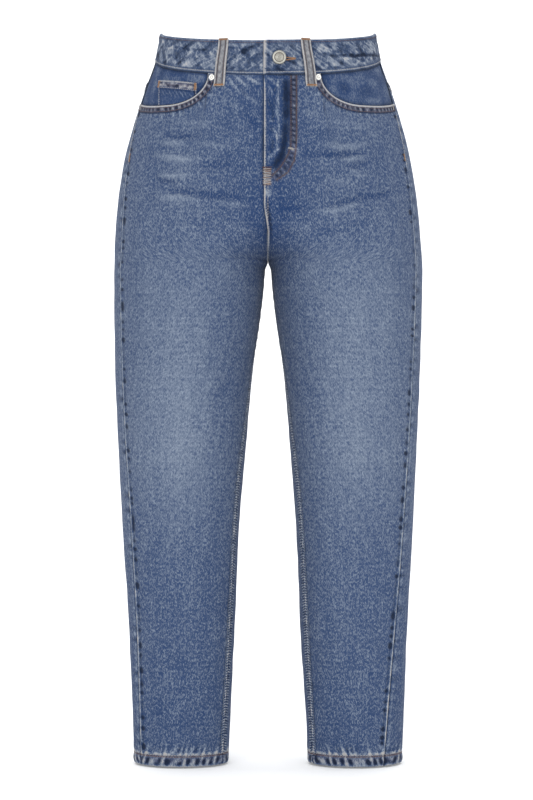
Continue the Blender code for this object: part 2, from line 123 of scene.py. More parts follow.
LEVELS = (
    Level(40.0, 136.5, 0.2, 90.0, 87.0),
    Level(18.0, 139.2, 0.2, 91.0, 87.5),
    Level(-17.0, 145.5, 0.2, 93.0, 92.0),
    Level(-54.0, 159.0, 0.2, 97.0, 103.0),
    Level(-93.0, 172.0, 0.2, 101.0, 115.0),
    Level(-145.0, 186.0, 0.2, 104.0, 126.0),
    Level(-197.0, 194.3, 0.2, 105.0, 130.0),
    Level(-249.0, 198.8, 0.2, 103.0, 126.0),
    Level(-276.0, 199.7, 0.2, 101.5, 120.5),
    Level(-287.0, 199.9, 4.3, 100.8, 118.0),
    Level(-313.0, 200.0, 6.4, 99.0, 111.5),
    Level(-352.0, 199.4, 10.8, 96.0, 103.0),
    Level(-417.0, 197.5, 19.4, 90.5, 91.5),
    Level(-495.0, 194.2, 26.6, 84.0, 80.5),
    Level(-586.0, 188.6, 34.3, 76.0, 70.0),
    Level(-689.0, 183.0, 39.8, 68.0, 60.0),
    Level(-793.0, 178.0, 44.6, 60.0, 52.0),
    Level(-923.0, 173.0, 51.5, 52.0, 44.0),
)


class Seam(NamedTuple):
    """How far forward of the outer side the leg seams run at one height in mm, in degrees."""

    z: float
    side_left: float
    side_right: float
    inseam: float


SEAMS = (
    Seam(40.0, 7.0, 1.0, 180.0),
    Seam(-40.0, 10.5, 6.0, 180.0),
    Seam(-90.0, 15.5, 10.5, 180.0),
    Seam(-140.0, 18.0, 15.3, 180.0),
    Seam(-185.0, 20.0, 18.5, 180.0),
    Seam(-225.0, 23.5, 23.0, 180.0),
    Seam(-276.0, 27.0, 28.0, 180.0),
    Seam(-350.0, 29.4, 29.0, 177.0),
    Seam(-440.0, 32.4, 30.0, 168.0),
    Seam(-550.0, 34.5, 31.8, 158.0),
    Seam(-640.0, 37.0, 33.6, 155.0),
    Seam(-740.0, 42.3, 35.4, 154.0),
    Seam(-840.0, 49.0, 35.2, 152.0),
    Seam(-923.0, 54.5, 34.5, 151.0),
)


def ease(start: float, end: float, value: Array) -> Array:
    """Rise smoothly from 0 at start to 1 at end."""
    share = np.clip((np.asarray(value, float) - start) / (end - start), 0.0, 1.0)
    return share * share * (3.0 - 2.0 * share)


def past(value: Array, start: float, end: float) -> Array:
    """Rise smoothly from 0 at start to 1 at end, both in mm."""
    return ease(start * MM, end * MM, value)


def near(value: Array, start: float, end: float) -> Array:
    """Fall smoothly from 1 at start to 0 at end, both in mm."""
    return 1.0 - past(value, start, end)


def bump(value: Array, middle: float, reach: float) -> Array:
    """Return a soft hill of height 1, its middle and half width in mm."""
    share = np.clip(np.abs(np.asarray(value, float) - middle * MM) / (reach * MM), 0.0, 1.0)
    return (1.0 - share * share) ** 2


def glow(value: Array, middle: float, reach: Any) -> Array:
    """Return a wide soft hill of height 1, its middle and reach in mm."""
    return np.exp(-(((value - middle * MM) / (reach * MM)) ** 2))


def wave(value: Array, pitch: float, shift: Any = 0.0) -> Array:
    """Return a sine wave along lengths, its pitch in mm."""
    return np.sin(value / (pitch * MM) * 2.0 * np.pi + shift)


def shares(count: int) -> Array:
    """Return count + 1 even shares from 0 to 1."""
    return np.linspace(0.0, 1.0, count + 1)


def mix(start: Any, end: Any, share: Any) -> Any:
    """Blend two values."""
    return start + (end - start) * share


class Curve:
    """A smooth table that never overshoots its rows."""

    def __init__(self, rows: Sequence[Any], column: str) -> None:
        """Read one column against the rows' height z, which is in mm.

        Args:
            rows: the table's rows, from the top down.
            column: the name of the column.
        """
        self.heights = np.array([row.z for row in rows])[::-1]
        self.values = np.array([getattr(row, column) for row in rows])[::-1]
        slopes = np.diff(self.values) / np.diff(self.heights)
        before, after = slopes[:-1], slopes[1:]
        together = before * after > 0.0
        total = np.where(together, before + after, 1.0)
        middle = np.where(together, 2.0 * before * after / total, 0.0)
        self.tangents = np.concatenate([slopes[:1], middle, slopes[-1:]])

    def __call__(self, z: Array) -> Array:
        """Return the column's value at heights z, in metres."""
        height = np.clip(np.asarray(z, float) / MM, self.heights[0], self.heights[-1])
        low = np.clip(np.searchsorted(self.heights, height, side="right") - 1, 0, len(self.heights) - 2)
        step = self.heights[low + 1] - self.heights[low]
        t = (height - self.heights[low]) / step
        return (
            self.values[low] * (2.0 * t**3 - 3.0 * t**2 + 1.0)
            + self.tangents[low] * step * (t**3 - 2.0 * t**2 + t)
            + self.values[low + 1] * (3.0 * t**2 - 2.0 * t**3)
            + self.tangents[low + 1] * step * (t**3 - t**2)
        )


class BodyForm:
    """The filled-out body of the jeans: a ring of ellipses that parts into two tubes at the crotch.

    A place is an angle and a height: 0 at the outer side, negative to the front, positive to the back.
    """

    walk_step = 4.0 * MM

    def __init__(self) -> None:
        """Read the tables once."""
        self.levels = {name: Curve(LEVELS, name) for name in Level._fields[1:]}
        self.seams = {name: Curve(SEAMS, name) for name in Seam._fields[1:]}

    def section(self, angle: Array, z: Array) -> tuple[Array, Array, Array, Array]:
        """Return centre x, reach x, centre y and reach y of the left half at places."""
        outer, inner, front, back = (self.levels[name](z) * MM for name in Level._fields[1:])
        fork = np.where(np.sin(angle) < 0.0, FRONT_FORK, BACK_FORK)
        parted = np.clip(1.0 - (np.asarray(z, float) - CROTCH) / fork, 0.0, 1.0) ** 2
        reach_x = (outer - inner * parted) / (1.0 + parted)
        return outer - reach_x, reach_x, (back - front) / 2.0, (back + front) / 2.0

    def point(self, angle: Array, z: Array) -> Array:
        """Return points of the left half."""
        angle, z = np.broadcast_arrays(np.asarray(angle, float), np.asarray(z, float))
        centre_x, reach_x, centre_y, reach_y = self.section(angle, z)
        return np.stack([centre_x + reach_x * np.cos(angle), centre_y + reach_y * np.sin(angle), z], axis=-1)

    def normal(self, angle: Array, z: Array) -> Array:
        """Return the outward directions of the left half."""
        angle, z = np.asarray(angle, float), np.asarray(z, float)
        turn, rise = 0.01, 0.5 * MM
        along = self.point(angle + turn, z) - self.point(angle - turn, z)
        upward = self.point(angle, z + rise) - self.point(angle, z - rise)
        cross = np.cross(along, upward)
        return cross / np.linalg.norm(cross, axis=-1, keepdims=True)

    def body(self, side: Side, angle: Array, z: Array, out: Any = 0.0) -> tuple[Array, Array]:
        """Return points that stand out from the form, and their normals.

        Args:
            side: the half of the garment.
            angle: the places' angles, in radians.
            z: the places' heights, in metres.
            out: how far the points stand out, in metres.

        Returns:
            The points and the outward directions.
        """
        direction = self.normal(angle, z)
        point = self.point(angle, z) + direction * np.asarray(out, float)[..., None]
        flip = np.array([float(side), 1.0, 1.0])
        return point * flip, direction * flip

    def angle_at(self, x: Array, z: Array, way: Way = Way.FRONT) -> Array:
        """Return the angle of the front or the back at distances x from the middle plane."""
        centre_x, reach_x, _, _ = self.section(np.full(np.shape(z), float(way)), z)
        return way * np.arccos(np.clip((x - centre_x) / reach_x, -1.0, 1.0))

    def walk(self, angle: Array, z: Array, distance: Any) -> Array:
        """Return the angles that lie a distance further along the section."""
        steps = max(1, int(round(float(np.max(np.abs(distance))) / self.walk_step)))
        for _ in range(steps):
            _, reach_x, _, reach_y = self.section(angle, z)
            angle = angle + distance / steps / np.hypot(reach_x * np.sin(angle), reach_y * np.cos(angle))
        return angle

    def rim(self, angle: Array) -> Array:
        """Return the height of the waistband's top edge."""
        lean = np.sin(angle)
        return RIM_SIDE + np.where(lean < 0.0, RIM_FRONT_DROP, RIM_BACK_RISE) * lean

    def waist_seam(self, angle: Array) -> Array:
        """Return the height of the seam under the waistband."""
        lean = np.sin(angle)
        return SEAM_SIDE + np.where(lean < 0.0, SEAM_FRONT_DROP, -SEAM_BACK_DROP) * lean

    def side_seam(self, side: Side, z: Array) -> Array:
        """Return the angle of the side seam."""
        return -np.radians(self.seams[f"side_{side.word}"](z))

    def edges(self, way: Way, side: Side, z: Array) -> tuple[Array, Array]:
        """Return the angles of a front or back panel's inner and outer edges at heights."""
        z = np.asarray(z, float)
        gap = SEAM_GAP / 2.0 + np.where(z < HEM_TOP, HEM_EASE, 0.0)
        outer = self.walk(self.side_seam(side, z), z, way * gap)
        round_to = 2.0 * np.pi if way > 0 else 0.0
        leg = self.walk(round_to - np.radians(self.seams["inseam"](z)), z, -way * gap)
        return np.where(z > CROTCH, self.angle_at(gap, z, way), leg), outer

    def ring(self, turn: Array, z: Array, out: Any) -> tuple[Array, Array]:
        """Return points round the waist and their normals: 0 degrees is the left side and 90 the back."""
        turn = (np.asarray(turn, float) + 180.0) % 360.0 - 180.0
        left = np.abs(turn) <= 90.0
        angle = np.radians(np.where(left, turn, np.copysign(180.0, turn) - turn))
        point, direction = self.body(Side.LEFT, angle, z, out)
        flip = np.stack([np.where(left, 1.0, -1.0), np.ones(turn.shape), np.ones(turn.shape)], axis=-1)
        return point * flip, direction * flip


FORM = BodyForm()


class Ripple:
    """A seeded sum of sine waves over the cloth, for soft unevenness."""

    def __init__(self, seed: int, length: float, stretch: float = 1.0, count: int = 14) -> None:
        """Draw the waves.

        Args:
            seed: picks the pattern.
            length: the mean wave length, in mm.
            stretch: how much longer the waves are along the cloth's length.
            count: how many waves are added up.
        """
        rng = np.random.default_rng(SEED + seed)
        turn = rng.uniform(0.0, np.pi, count)
        pace = 2.0 * np.pi / (length * MM * rng.uniform(0.65, 1.5, count))
        self.across = pace * np.cos(turn)
        self.along = pace * np.sin(turn) / stretch
        self.phase = rng.uniform(0.0, 2.0 * np.pi, count)

    def __call__(self, u: Any, v: Any) -> Array:
        """Return values of about -1 to 1 at cloth places u, v."""
        total = np.zeros(np.broadcast(u, v).shape)
        for across, along, phase in zip(self.across, self.along, self.phase):
            total += np.sin(across * u + along * v + phase)
        return total / math.sqrt(len(self.phase) * 1.2)


def march(count: int, crowd: float) -> Array:
    """Return count + 1 shares from 0 to 1 that start crowded, like a square, and end nearly even."""
    share = np.arange(count + 1) / count
    return (1.0 + crowd) * share**2 / (1.0 + crowd * share)


class Patch:
    """A sheet of cloth as rows and columns of places, with its relief, its rubbed paleness, its fading and
    the painted shade of its hollows and grooves.

    The lip is how far the edge bulges, as a share of the wall. The edge is worn by edge_wear, and the
    reverse keeps reverse_wear of the rubbed paleness and painted shade.
    """

    lip = 0.3
    edge_wear = 0.12
    reverse_wear = 0.15

    def __init__(
        self,
        name: str,
        locate: Callable[[Array], tuple[Array, Array]],
        shape: tuple[int, int],
        wall: Any,
        flip: bool,
    ) -> None:
        """Measure the sheet's arcs from each edge.

        Args:
            name: the object's name.
            locate: gives points and normals for an array of how far the cloth stands out.
            shape: the count of rows and columns.
            wall: the thickness, as one number or one for each place.
            flip: whether the columns run so that the faces must be turned.
        """
        self.name, self.locate, self.flip = name, locate, flip
        self.base, self.normals = locate(np.zeros(shape))
        self.wall = np.broadcast_to(np.asarray(wall, float), shape)
        # Per place: rubbed paleness above 0 and painted shade below 0 in one attribute, faded dye and painted
        # shade in another.
        self.out, self.wear, self.fade, self.rust, self.crimp = (np.zeros(shape) for _ in range(5))
        self.shift = np.zeros(shape + (3,))
        across = np.linalg.norm(np.diff(self.base, axis=1), axis=-1)
        down = np.linalg.norm(np.diff(self.base, axis=0), axis=-1)
        zero_column, zero_row = np.zeros((shape[0], 1)), np.zeros((1, shape[1]))
        self.left = np.concatenate([zero_column, np.cumsum(across, axis=1)], axis=1)
        self.right = self.left[:, -1:] - self.left
        self.top = np.concatenate([zero_row, np.cumsum(down, axis=0)], axis=0)
        self.foot = self.top[-1:] - self.top
        self.sides, self.ends = np.minimum(self.left, self.right), np.minimum(self.top, self.foot)
        self.x, self.y, self.z = (self.base[..., i] for i in range(3))
        self.u = self.left - self.left[:, -1:] / 2.0
        self.v = self.z

    def skin(self) -> Array:
        """Return the outer skin with its relief."""
        return self.locate(self.out)[0] + self.shift

    def line(self, edge: str, distance: float, low: float = -9.0, high: float = 9.0) -> tuple[Array, Array]:
        """Return the outer skin's line that runs along an edge.

        Args:
            edge: left, right, top or foot.
            distance: how far in the line lies.
            low: the line's lowest height.
            high: the line's highest height.

        Returns:
            The points of the line and the normals there.
        """
        both, arcs = np.concatenate([self.skin(), self.normals], axis=-1), getattr(self, edge)
        if edge in ("top", "foot"):
            both, arcs = both.transpose(1, 0, 2), arcs.T
        spots = []
        for row, arc in zip(both, arcs):
            order = np.argsort(arc, kind="stable")
            spot = [np.interp(distance, arc[order], row[order, k]) for k in range(6)]
            if low <= spot[2] <= high:
                spots.append(spot)
        found = np.array(spots).reshape(-1, 6)
        return found[:, :3], found[:, 3:]

    def mesh(self) -> bpy.types.Object:
        """Return the closed sheet: outer skin, inner skin and a rounded edge between them."""
        rows, columns = self.out.shape
        outer = self.skin()
        inner = outer - self.normals * self.wall[..., None]
        count = rows * columns
        index = np.arange(count).reshape(rows, columns)
        ring = np.concatenate([index[0, :-1], index[:-1, -1], index[-1, :0:-1], index[:0:-1, 0]])
        inside = np.concatenate([index[1, :-1], index[:-1, -2], index[-2, :0:-1], index[:0:-1, 1]])
        flat_outer, flat_inner = outer.reshape(-1, 3), inner.reshape(-1, 3)
        away = flat_outer[ring] - flat_outer[inside]
        away /= np.maximum(np.linalg.norm(away, axis=1, keepdims=True), 1e-9)
        bulge = away * self.wall.reshape(-1)[ring, None] * self.lip
        middle = (flat_outer[ring] + flat_inner[ring]) / 2.0 + bulge
        points = np.concatenate([flat_outer, flat_inner, middle])
        a, b, c, d = index[:-1, :-1], index[1:, :-1], index[1:, 1:], index[:-1, 1:]
        quads = np.stack([a, b, c, d], axis=-1).reshape(-1, 4)
        following = np.roll(ring, -1)
        number = 2 * count + np.arange(len(ring))
        after = np.roll(number, -1)
        faces = np.concatenate([
            quads,
            quads[:, ::-1] + count,
            np.stack([ring, following, after, number], axis=-1),
            np.stack([number, after, following + count, ring + count], axis=-1),
        ])
        if self.flip:
            faces = faces[:, ::-1]
        source = np.concatenate([np.arange(count), np.arange(count), ring])
        hidden = np.concatenate([np.zeros(count), np.ones(count), np.full(len(ring), 0.15)])
        place = np.stack([self.u, self.v, np.zeros_like(self.u)], axis=-1).reshape(-1, 3)[source]
        facts = {name: getattr(self, name).reshape(-1)[source] for name in ("wear", "fade", "rust", "crimp")}
        facts["wear"] = facts["wear"] * np.where(hidden == 1.0, self.reverse_wear, 1.0)
        facts["wear"][2 * count:] += self.edge_wear
        for name in ("rust", "crimp"):
            facts[name] = facts[name] * (hidden < 1.0)
        facts["inside"] = hidden
        return make_object(self.name, points, faces, place, facts)


def make_object(
    name: str, points: Array, faces: Array, place: Array, facts: dict[str, Array]
) -> bpy.types.Object:
    """Return a new smooth object made from arrays.

    Args:
        name: the object's name.
        points: the vertices.
        faces: rows of three or four vertex numbers.
        place: each vertex's place in the cloth or the thread.
        facts: further numbers for each vertex, by attribute name.

    Returns:
        The object, linked into the scene.
    """
    mesh = bpy.data.meshes.new(name)
    sides = faces.shape[1]
    mesh.vertices.add(len(points))
    mesh.vertices.foreach_set("co", points.astype(np.float32).ravel())
    mesh.loops.add(faces.size)
    mesh.loops.foreach_set("vertex_index", faces.astype(np.int32).ravel())
    mesh.polygons.add(len(faces))
    mesh.polygons.foreach_set("loop_start", np.arange(0, faces.size, sides, dtype=np.int32))
    mesh.update(calc_edges=True)
    mesh.validate()
    mesh.shade_smooth()
    spot = mesh.attributes.new("cloth", "FLOAT_VECTOR", "POINT")
    spot.data.foreach_set("vector", place.astype(np.float32).ravel())
    for key, values in facts.items():
        fact = mesh.attributes.new(key, "FLOAT", "POINT")
        fact.data.foreach_set("value", np.asarray(values, np.float32).ravel())
    piece = bpy.data.objects.new(name, mesh)
    bpy.context.scene.collection.objects.link(piece)
    return piece


class Crease(NamedTuple):
    """A crease in mm from x0, z0 to x1, z1: half width, height (below 0 a trough) and paleness (below 0
    painted shade in the trough).
    """

    x0: float
    z0: float
    x1: float
    z1: float
    wide: float
    high: float
    pale: float


NARROW = 4.0
# Shares for wide creases: faded paleness on their ridges, painted shade in their troughs.
FADE_PALE, FOLD_TROUGH_SHADE = 0.40, 0.30


def press(patch: Patch, creases: Sequence[Crease], bend: float, gain: float = 1.0, only: Any = 1.0) -> None:
    """Press creases into a sheet, tapered at both ends: narrow ones are worn pale on their ridges, wide ones
    are faded softly on theirs, and the troughs of both get painted shade.

    Args:
        patch: the sheet.
        creases: the creases, seen from the front or the back.
        bend: how much each one sags between its ends, as a share of its length.
        gain: multiplies the height and the paleness.
        only: 1 where creases may lie, 0 elsewhere.
    """
    for crease in creases:
        start = np.array([crease.x0, crease.z0]) * MM
        reach = np.array([crease.x1, crease.z1]) * MM - start
        length = float(np.hypot(*reach))
        way = reach / length
        dx, dz = patch.x - start[0], patch.z - start[1]
        along = (dx * way[0] + dz * way[1]) / length
        arch = np.sin(np.pi * np.clip(along, 0.0, 1.0))
        off = -dx * way[1] + dz * way[0]
        off = off + bend * length * arch * (1.0 if way[0] >= 0.0 else -1.0)
        taper = arch**0.7 * ((along > 0.0) & (along < 1.0))
        shape = bump(off, 0.0, crease.wide) * taper * only * gain
        patch.out += crease.high * MM * shape
        # Paleness below 0 is painted shade in a trough.
        if crease.wide < NARROW:
            patch.wear += crease.pale * shape
        else:
            patch.fade += (FADE_PALE if crease.pale > 0.0 else FOLD_TROUGH_SHADE) * crease.pale * shape


def operator(operation: str, swap: bool = False) -> Callable[["Wire", Any], "Wire"]:
    """Return a method that adds a Math node.

    Args:
        operation: the node's operation.
        swap: whether its two inputs change places.

    Returns:
        The method.
    """

    def method(self: "Wire", other: Any) -> "Wire":
        """Return the node's result."""
        return self.math(operation, other, swap=swap)

    return method


class Wire:
    """A node socket that can be used in sums."""

    def __init__(self, maker: "Maker", socket: bpy.types.NodeSocket) -> None:
        """Keep the socket and the maker of its tree."""
        self.maker, self.socket = maker, socket

    def math(self, operation: str, *others: Any, swap: bool = False) -> "Wire":
        """Return a Math node's result.

        Args:
            operation: the node's operation.
            others: the further inputs.
            swap: whether the inputs change places.

        Returns:
            The result.
        """
        inputs = [self, *others][::-1 if swap else 1]
        return self.maker.node("ShaderNodeMath", {"operation": operation}, dict(enumerate(inputs)))

    __add__ = __radd__ = operator("ADD")
    __mul__ = __rmul__ = operator("MULTIPLY")
    __sub__ = operator("SUBTRACT")
    __rsub__ = operator("SUBTRACT", swap=True)
    __pow__ = operator("POWER")

    def sine(self) -> "Wire":
        """Return the sine."""
        return self.math("SINE")

    def above(self, floor: Any) -> "Wire":
        """Return the greater of this and floor."""
        return self.math("MAXIMUM", floor)

    def below(self, roof: float) -> "Wire":
        """Return the lesser of this and roof."""
        return self.math("MINIMUM", roof)

    def vein(self, narrow: float) -> "Wire":
        """Return soft lines of height 1 where a noise crosses its middle."""
        return (1.0 - ((self - 0.5) * (self - 0.5)) ** 0.5 * narrow).above(0.0)

    def eased(self, low: float, high: float) -> "Wire":
        """Rise smoothly from 0 at low to 1 at high."""
        inputs = {"Value": self, "From Min": low, "From Max": high}
        return self.maker.node("ShaderNodeMapRange", {"interpolation_type": "SMOOTHSTEP"}, inputs)


class Maker:
    """Builds one material's nodes."""

    def __init__(self, name: str) -> None:
        """Start a Principled material."""
        self.material = bpy.data.materials.new(name)
        self.material.use_nodes = True
        self.tree = self.material.node_tree
        self.shader = self.tree.nodes["Principled BSDF"]

    def node(self, kind: str, settings: dict[str, Any], inputs: dict[Any, Any], output: Any = 0) -> Wire:
        """Add a node.

        Args:
            kind: the node's type.
            settings: its properties, set first.
            inputs: its inputs by name or number, as values or wires.
            output: the output that is returned.

        Returns:
            The output.
        """
        made = self.tree.nodes.new(kind)
        for key, value in settings.items():
            setattr(made, key, value)
        for key, value in inputs.items():
            self.feed(made.inputs[key], value)
        return Wire(self, made.outputs[output])

    def feed(self, socket: bpy.types.NodeSocket, value: Any) -> None:
        """Link or set a socket."""
        if isinstance(value, Wire):
            self.tree.links.new(value.socket, socket)
        else:
            socket.default_value = value

    def fact(self, name: str, vector: bool = False) -> Wire:
        """Return a mesh attribute."""
        settings = {"attribute_type": "GEOMETRY", "attribute_name": name}
        return self.node("ShaderNodeAttribute", settings, {}, "Vector" if vector else "Fac")

    def split(self, vector: Wire) -> tuple[Wire, Wire, Wire]:
        """Return a vector's three numbers."""
        made = self.tree.nodes.new("ShaderNodeSeparateXYZ")
        self.feed(made.inputs[0], vector)
        return tuple(Wire(self, made.outputs[i]) for i in range(3))

    def join(self, *numbers: Any) -> Wire:
        """Return a vector from its numbers."""
        return self.node("ShaderNodeCombineXYZ", {}, dict(enumerate(numbers)))

    def noise(self, place: Wire, detail: float = 2.0, roughness: float = 0.5) -> Wire:
        """Return noise from 0 to 1 at places given in its own unit."""
        inputs = {"Vector": place, "Scale": 1.0, "Detail": detail, "Roughness": roughness}
        return self.node("ShaderNodeTexNoise", {"noise_dimensions": "3D"}, inputs)

    def blend(self, share: Any, first: Any, second: Any) -> Wire:
        """Return a mix of two colours."""
        colors = [value if isinstance(value, Wire) else (*value, 1.0) for value in (first, second)]
        settings = {"data_type": "RGBA", "clamp_factor": True}
        return self.node("ShaderNodeMix", settings, {0: share, 6: colors[0], 7: colors[1]}, 2)

    def raised(self, height: Wire, strength: float, distance: float) -> Wire:
        """Return a Bump normal."""
        inputs = {"Height": height, "Strength": strength, "Distance": distance}
        return self.node("ShaderNodeBump", {}, inputs)

    def finish(self, **inputs: Any) -> bpy.types.Material:
        """Set the shader's sockets, named with _ for a space, and return the material."""
        for key, value in inputs.items():
            self.feed(self.shader.inputs[key.replace("_", " ")], value)
        return self.material


@dataclass(frozen=True)
class Denim:
    """Washed denim: colour, rubbed paleness, streaks, crinkles and twill, with painted shade in hollows and
    grooves.
    """

    name: str
    deep: tuple[float, float, float] = (0.010, 0.033, 0.106)
    pale: tuple[float, float, float] = (0.560, 0.635, 0.690)
    rubbed: tuple[float, float, float] = (0.38, 0.355, 0.345)
    reverse: tuple[float, float, float] = (0.11, 0.15, 0.21)
    stain: tuple[float, float, float] = (0.105, 0.068, 0.060)
    base: float = 0.095
    streak: float = 1.30
    cloud: float = 0.07
    crinkle: float = 0.0
    twill: float = 0.9 * MM

    def build(self) -> bpy.types.Material:
        """Return the material."""
        make = Maker(self.name)
        u, v, _ = make.split(make.fact("cloth", vector=True))
        wear, fade, inside = (make.fact(name) for name in ("wear", "fade", "inside"))
        rust, crimp = make.fact("rust"), make.fact("crimp")

        def noise(across: float, along: float, layer: Any, detail: float = 2.0, rough: float = 0.5) -> Wire:
            """Return noise with so many cells to a metre across and along the cloth."""
            return make.noise(make.join(u * across, v * along, layer), detail, rough)

        def strokes(lean: float, across: float, along: float, layer: Any) -> Wire:
            """Return noise drawn out into short strokes that lean off the cloth's length."""
            sway = wiggle * (-1.0) if lean < 0.0 else wiggle
            place = make.join((u + v * lean) * across + sway, (v - u * lean) * along, layer)
            return make.noise(place, 1.0, 0.4)

        wiggle = noise(150.0, 150.0, 3.0, 1.0) * 1.7
        upright = strokes(0.0, 450.0, 150.0, inside * 9.0)
        slant, other = strokes(0.62, 410.0, 138.0, 7.0), strokes(-0.70, 385.0, 144.0, 12.0)
        grain, slub = noise(560.0, 340.0, 1.0), noise(260.0, 9.0, 2.0)
        cloud = noise(34.0, 22.0, 5.0, 3.0, 0.55)
        thread = ((u * 0.94 + v * 0.50) * (2.0 * math.pi / self.twill)).sine()
        mottle = upright.vein(8.0) * 0.27 + slant.vein(8.0) * 0.27 + other.vein(8.0) * 0.23 - 0.33
        mottle = mottle + (grain - 0.5) * 0.85 + (slub - 0.5) * 0.25
        wear = wear * (upright.vein(7.0) * 0.45 + slant.vein(7.0) * 0.35 + grain * 0.9 + 0.28)
        if self.crinkle:
            from_middle = ((v + 0.017) * (v + 0.017) + 0.000004) ** 0.5
            first = make.noise(make.join(u * 84.0 + from_middle * 66.0, v * 34.0, 21.0), 1.0)
            second = make.noise(make.join(u * 92.0 - from_middle * 80.0, v * 30.0, 27.0), 1.0)
            pits = noise(74.0, 92.0, 33.0)
            lines = first.vein(15.0) * 0.40 + second.vein(17.0) * 0.32
            wear = wear + (lines - pits.eased(0.48, 0.68) * 0.72) * self.crinkle * crimp
        else:
            ribs = (v * (2.0 * math.pi / (3.3 * MM)) + u * 420.0 + wiggle * 3.2).sine()
            wear = wear + (ribs + (upright - 0.5) * 1.6) * crimp
        # The tone takes in faded dye and also the painted shade at the crotch, the inner leg and fold
        # troughs.
        tone = fade + wear.above(0.0) * 0.40 + self.base + (cloud - 0.5) * self.cloud
        share = tone + mottle * (0.465 - tone * 0.85) * self.streak + thread * 0.010
        share = share.above((tone * 0.30 + grain * 0.03).above(0.008))
        color = make.blend(share, self.deep, self.pale)
        color = make.blend(wear.eased(0.45, 1.5) * 0.85, color, self.rubbed)
        color = make.blend(rust.below(0.85), color, make.blend(mottle + 0.35, self.stain, self.rubbed))
        # Painted shade: below 0 the attribute darkens the colour towards a navy darker than the dye, in
        # hollows, grooves and under laps.
        hollow = wear.below(0.0) * -0.82
        color = make.blend(hollow.below(0.92), color, tuple(value * 0.27 for value in self.deep))
        weft = make.blend((upright + grain) * 0.30, self.reverse, self.pale)
        color = make.blend(inside.eased(0.5, 0.9) * 0.75, color, weft)
        height = mottle * 0.8 + thread * 0.08 + wear * 0.6
        return make.finish(
            Base_Color=color,
            Roughness=0.97 - tone * 0.12,
            Specular_IOR_Level=0.18,
            Sheen_Weight=0.05,
            Sheen_Roughness=0.5,
            Normal=make.raised(height, 0.55, 1.2 * MM),
        )


@dataclass(frozen=True)
class Thread:
    """Twisted cotton thread."""

    name: str
    color: tuple[float, float, float]
    dark: tuple[float, float, float]

    def build(self) -> bpy.types.Material:
        """Return the material."""
        make = Maker(self.name)
        u, v, w = make.split(make.fact("cloth", vector=True))
        ply = ((u * 5200.0) + v * 3.0).sine()
        worn = make.noise(make.join(u * 90.0, w * 60.0, v), 2.0)
        share = (worn.eased(0.35, 0.65) * 0.7 + ply * 0.15 + 0.2).below(1.0)
        return make.finish(
            Base_Color=make.blend(share.above(0.0), self.dark, self.color),
            Roughness=0.85 - ply * 0.05,
            Specular_IOR_Level=0.3,
            Sheen_Weight=0.1,
            Normal=make.raised(ply, 0.5, 0.2 * MM),
        )


@dataclass(frozen=True)
class Metal:
    """Antique silver with darkened hollows."""

    name: str
    bright: tuple[float, float, float] = (0.40, 0.395, 0.36)
    dull: tuple[float, float, float] = (0.10, 0.085, 0.065)
    roughness: float = 0.34

    def build(self) -> bpy.types.Material:
        """Return the material."""
        make = Maker(self.name)
        u, v, _ = make.split(make.fact("cloth", vector=True))
        # On metal this attribute holds only the tarnish of the hollows, a patina of the antique finish, not
        # shade.
        wear = make.fact("wear")
        patch = make.noise(make.join(u * 900.0, v * 900.0, 4.0), 4.0, 0.6)
        brushed = make.noise(make.join(u * 3000.0, v * 500.0, 8.0), 2.0)
        tarnish = (wear + (patch - 0.5) * 0.7).eased(0.1, 0.9)
        return make.finish(
            Base_Color=make.blend(tarnish, self.bright, self.dull),
            Metallic=1.0 - tarnish * 0.35,
            Roughness=self.roughness + tarnish * 0.3 + (brushed - 0.5) * 0.12,
            Normal=make.raised(patch * 0.6 + brushed * 0.4, 0.25, 0.1 * MM),
        )


class Finish(Enum):
    """The finishes by slot of the record."""

    DENIM = Denim("denim")
    BAND = Denim(
        "denim_band", (0.012, 0.034, 0.096), (0.58, 0.635, 0.685),
        base=0.074, streak=0.6, cloud=0.14, crinkle=1.0,
    )
    LOOP = Denim("denim_loop", (0.040, 0.048, 0.075), (0.56, 0.55, 0.54), base=0.20, streak=0.9)
    FACING = Denim("denim_facing", base=0.056, streak=0.62)
    SILVER = Metal("antique_silver")
    RIVET = Metal("rivet_silver", (0.80, 0.79, 0.75), (0.22, 0.19, 0.15))
    THREAD = Thread("thread", (0.44, 0.42, 0.41), (0.22, 0.205, 0.20))
    RUST = Thread("thread_rust", (0.135, 0.062, 0.045), (0.045, 0.025, 0.026))
    RIB = Thread("thread_pale", (0.24, 0.27, 0.31), (0.08, 0.095, 0.13))
    TACK = Thread("bar_tack_thread", (0.38, 0.205, 0.10), (0.17, 0.09, 0.055))


class Wardrobe:
    """Gives each finish's material, made once."""

    def __init__(self) -> None:
        """Build the materials."""
        self.made = {finish: finish.value.build() for finish in Finish}

    def dress(self, piece: bpy.types.Object, finish: Finish, node: Any = None) -> bpy.types.Object:
        """Give a piece its material, parent it to the root and hide the solids that it replaces.

        Args:
            piece: the object.
            finish: its finish.
            node: the solid, or solids, that it replaces.

        Returns:
            The piece.
        """
        piece.data.materials.append(self.made[finish])
        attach(piece, "root")
        SLOT_OF.get(finish, finish.value.name)
        if node is not None:
            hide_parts(*([node] if isinstance(node, str) else node))
        return piece


SLOT_OF = {
    Finish.RUST: "thread", Finish.RIB: "thread", Finish.LOOP: "denim_band", Finish.RIVET: "antique_silver",
}


def distance_to(patch: Patch, line: Array) -> tuple[Array, Array]:
    """Return each place's distance to a line, and how far along the line its nearest point is.

    Args:
        patch: the cloth.
        line: the line's points.

    Returns:
        The distances and the arc lengths.
    """
    best = np.full(patch.out.shape, FAR)
    along = np.zeros(patch.out.shape)
    run = 0.0
    for start, end in zip(line[:-1], line[1:]):
        reach = end - start
        length = float(np.linalg.norm(reach))
        if length < 1e-7:
            continue
        away = patch.base - start
        share = np.clip(away @ reach / length**2, 0.0, 1.0)
        gap = np.linalg.norm(away - share[..., None] * reach, axis=-1)
        nearer = gap < best
        best = np.where(nearer, gap, best)
        along = np.where(nearer, run + share * length, along)
        run += length
    return best, along


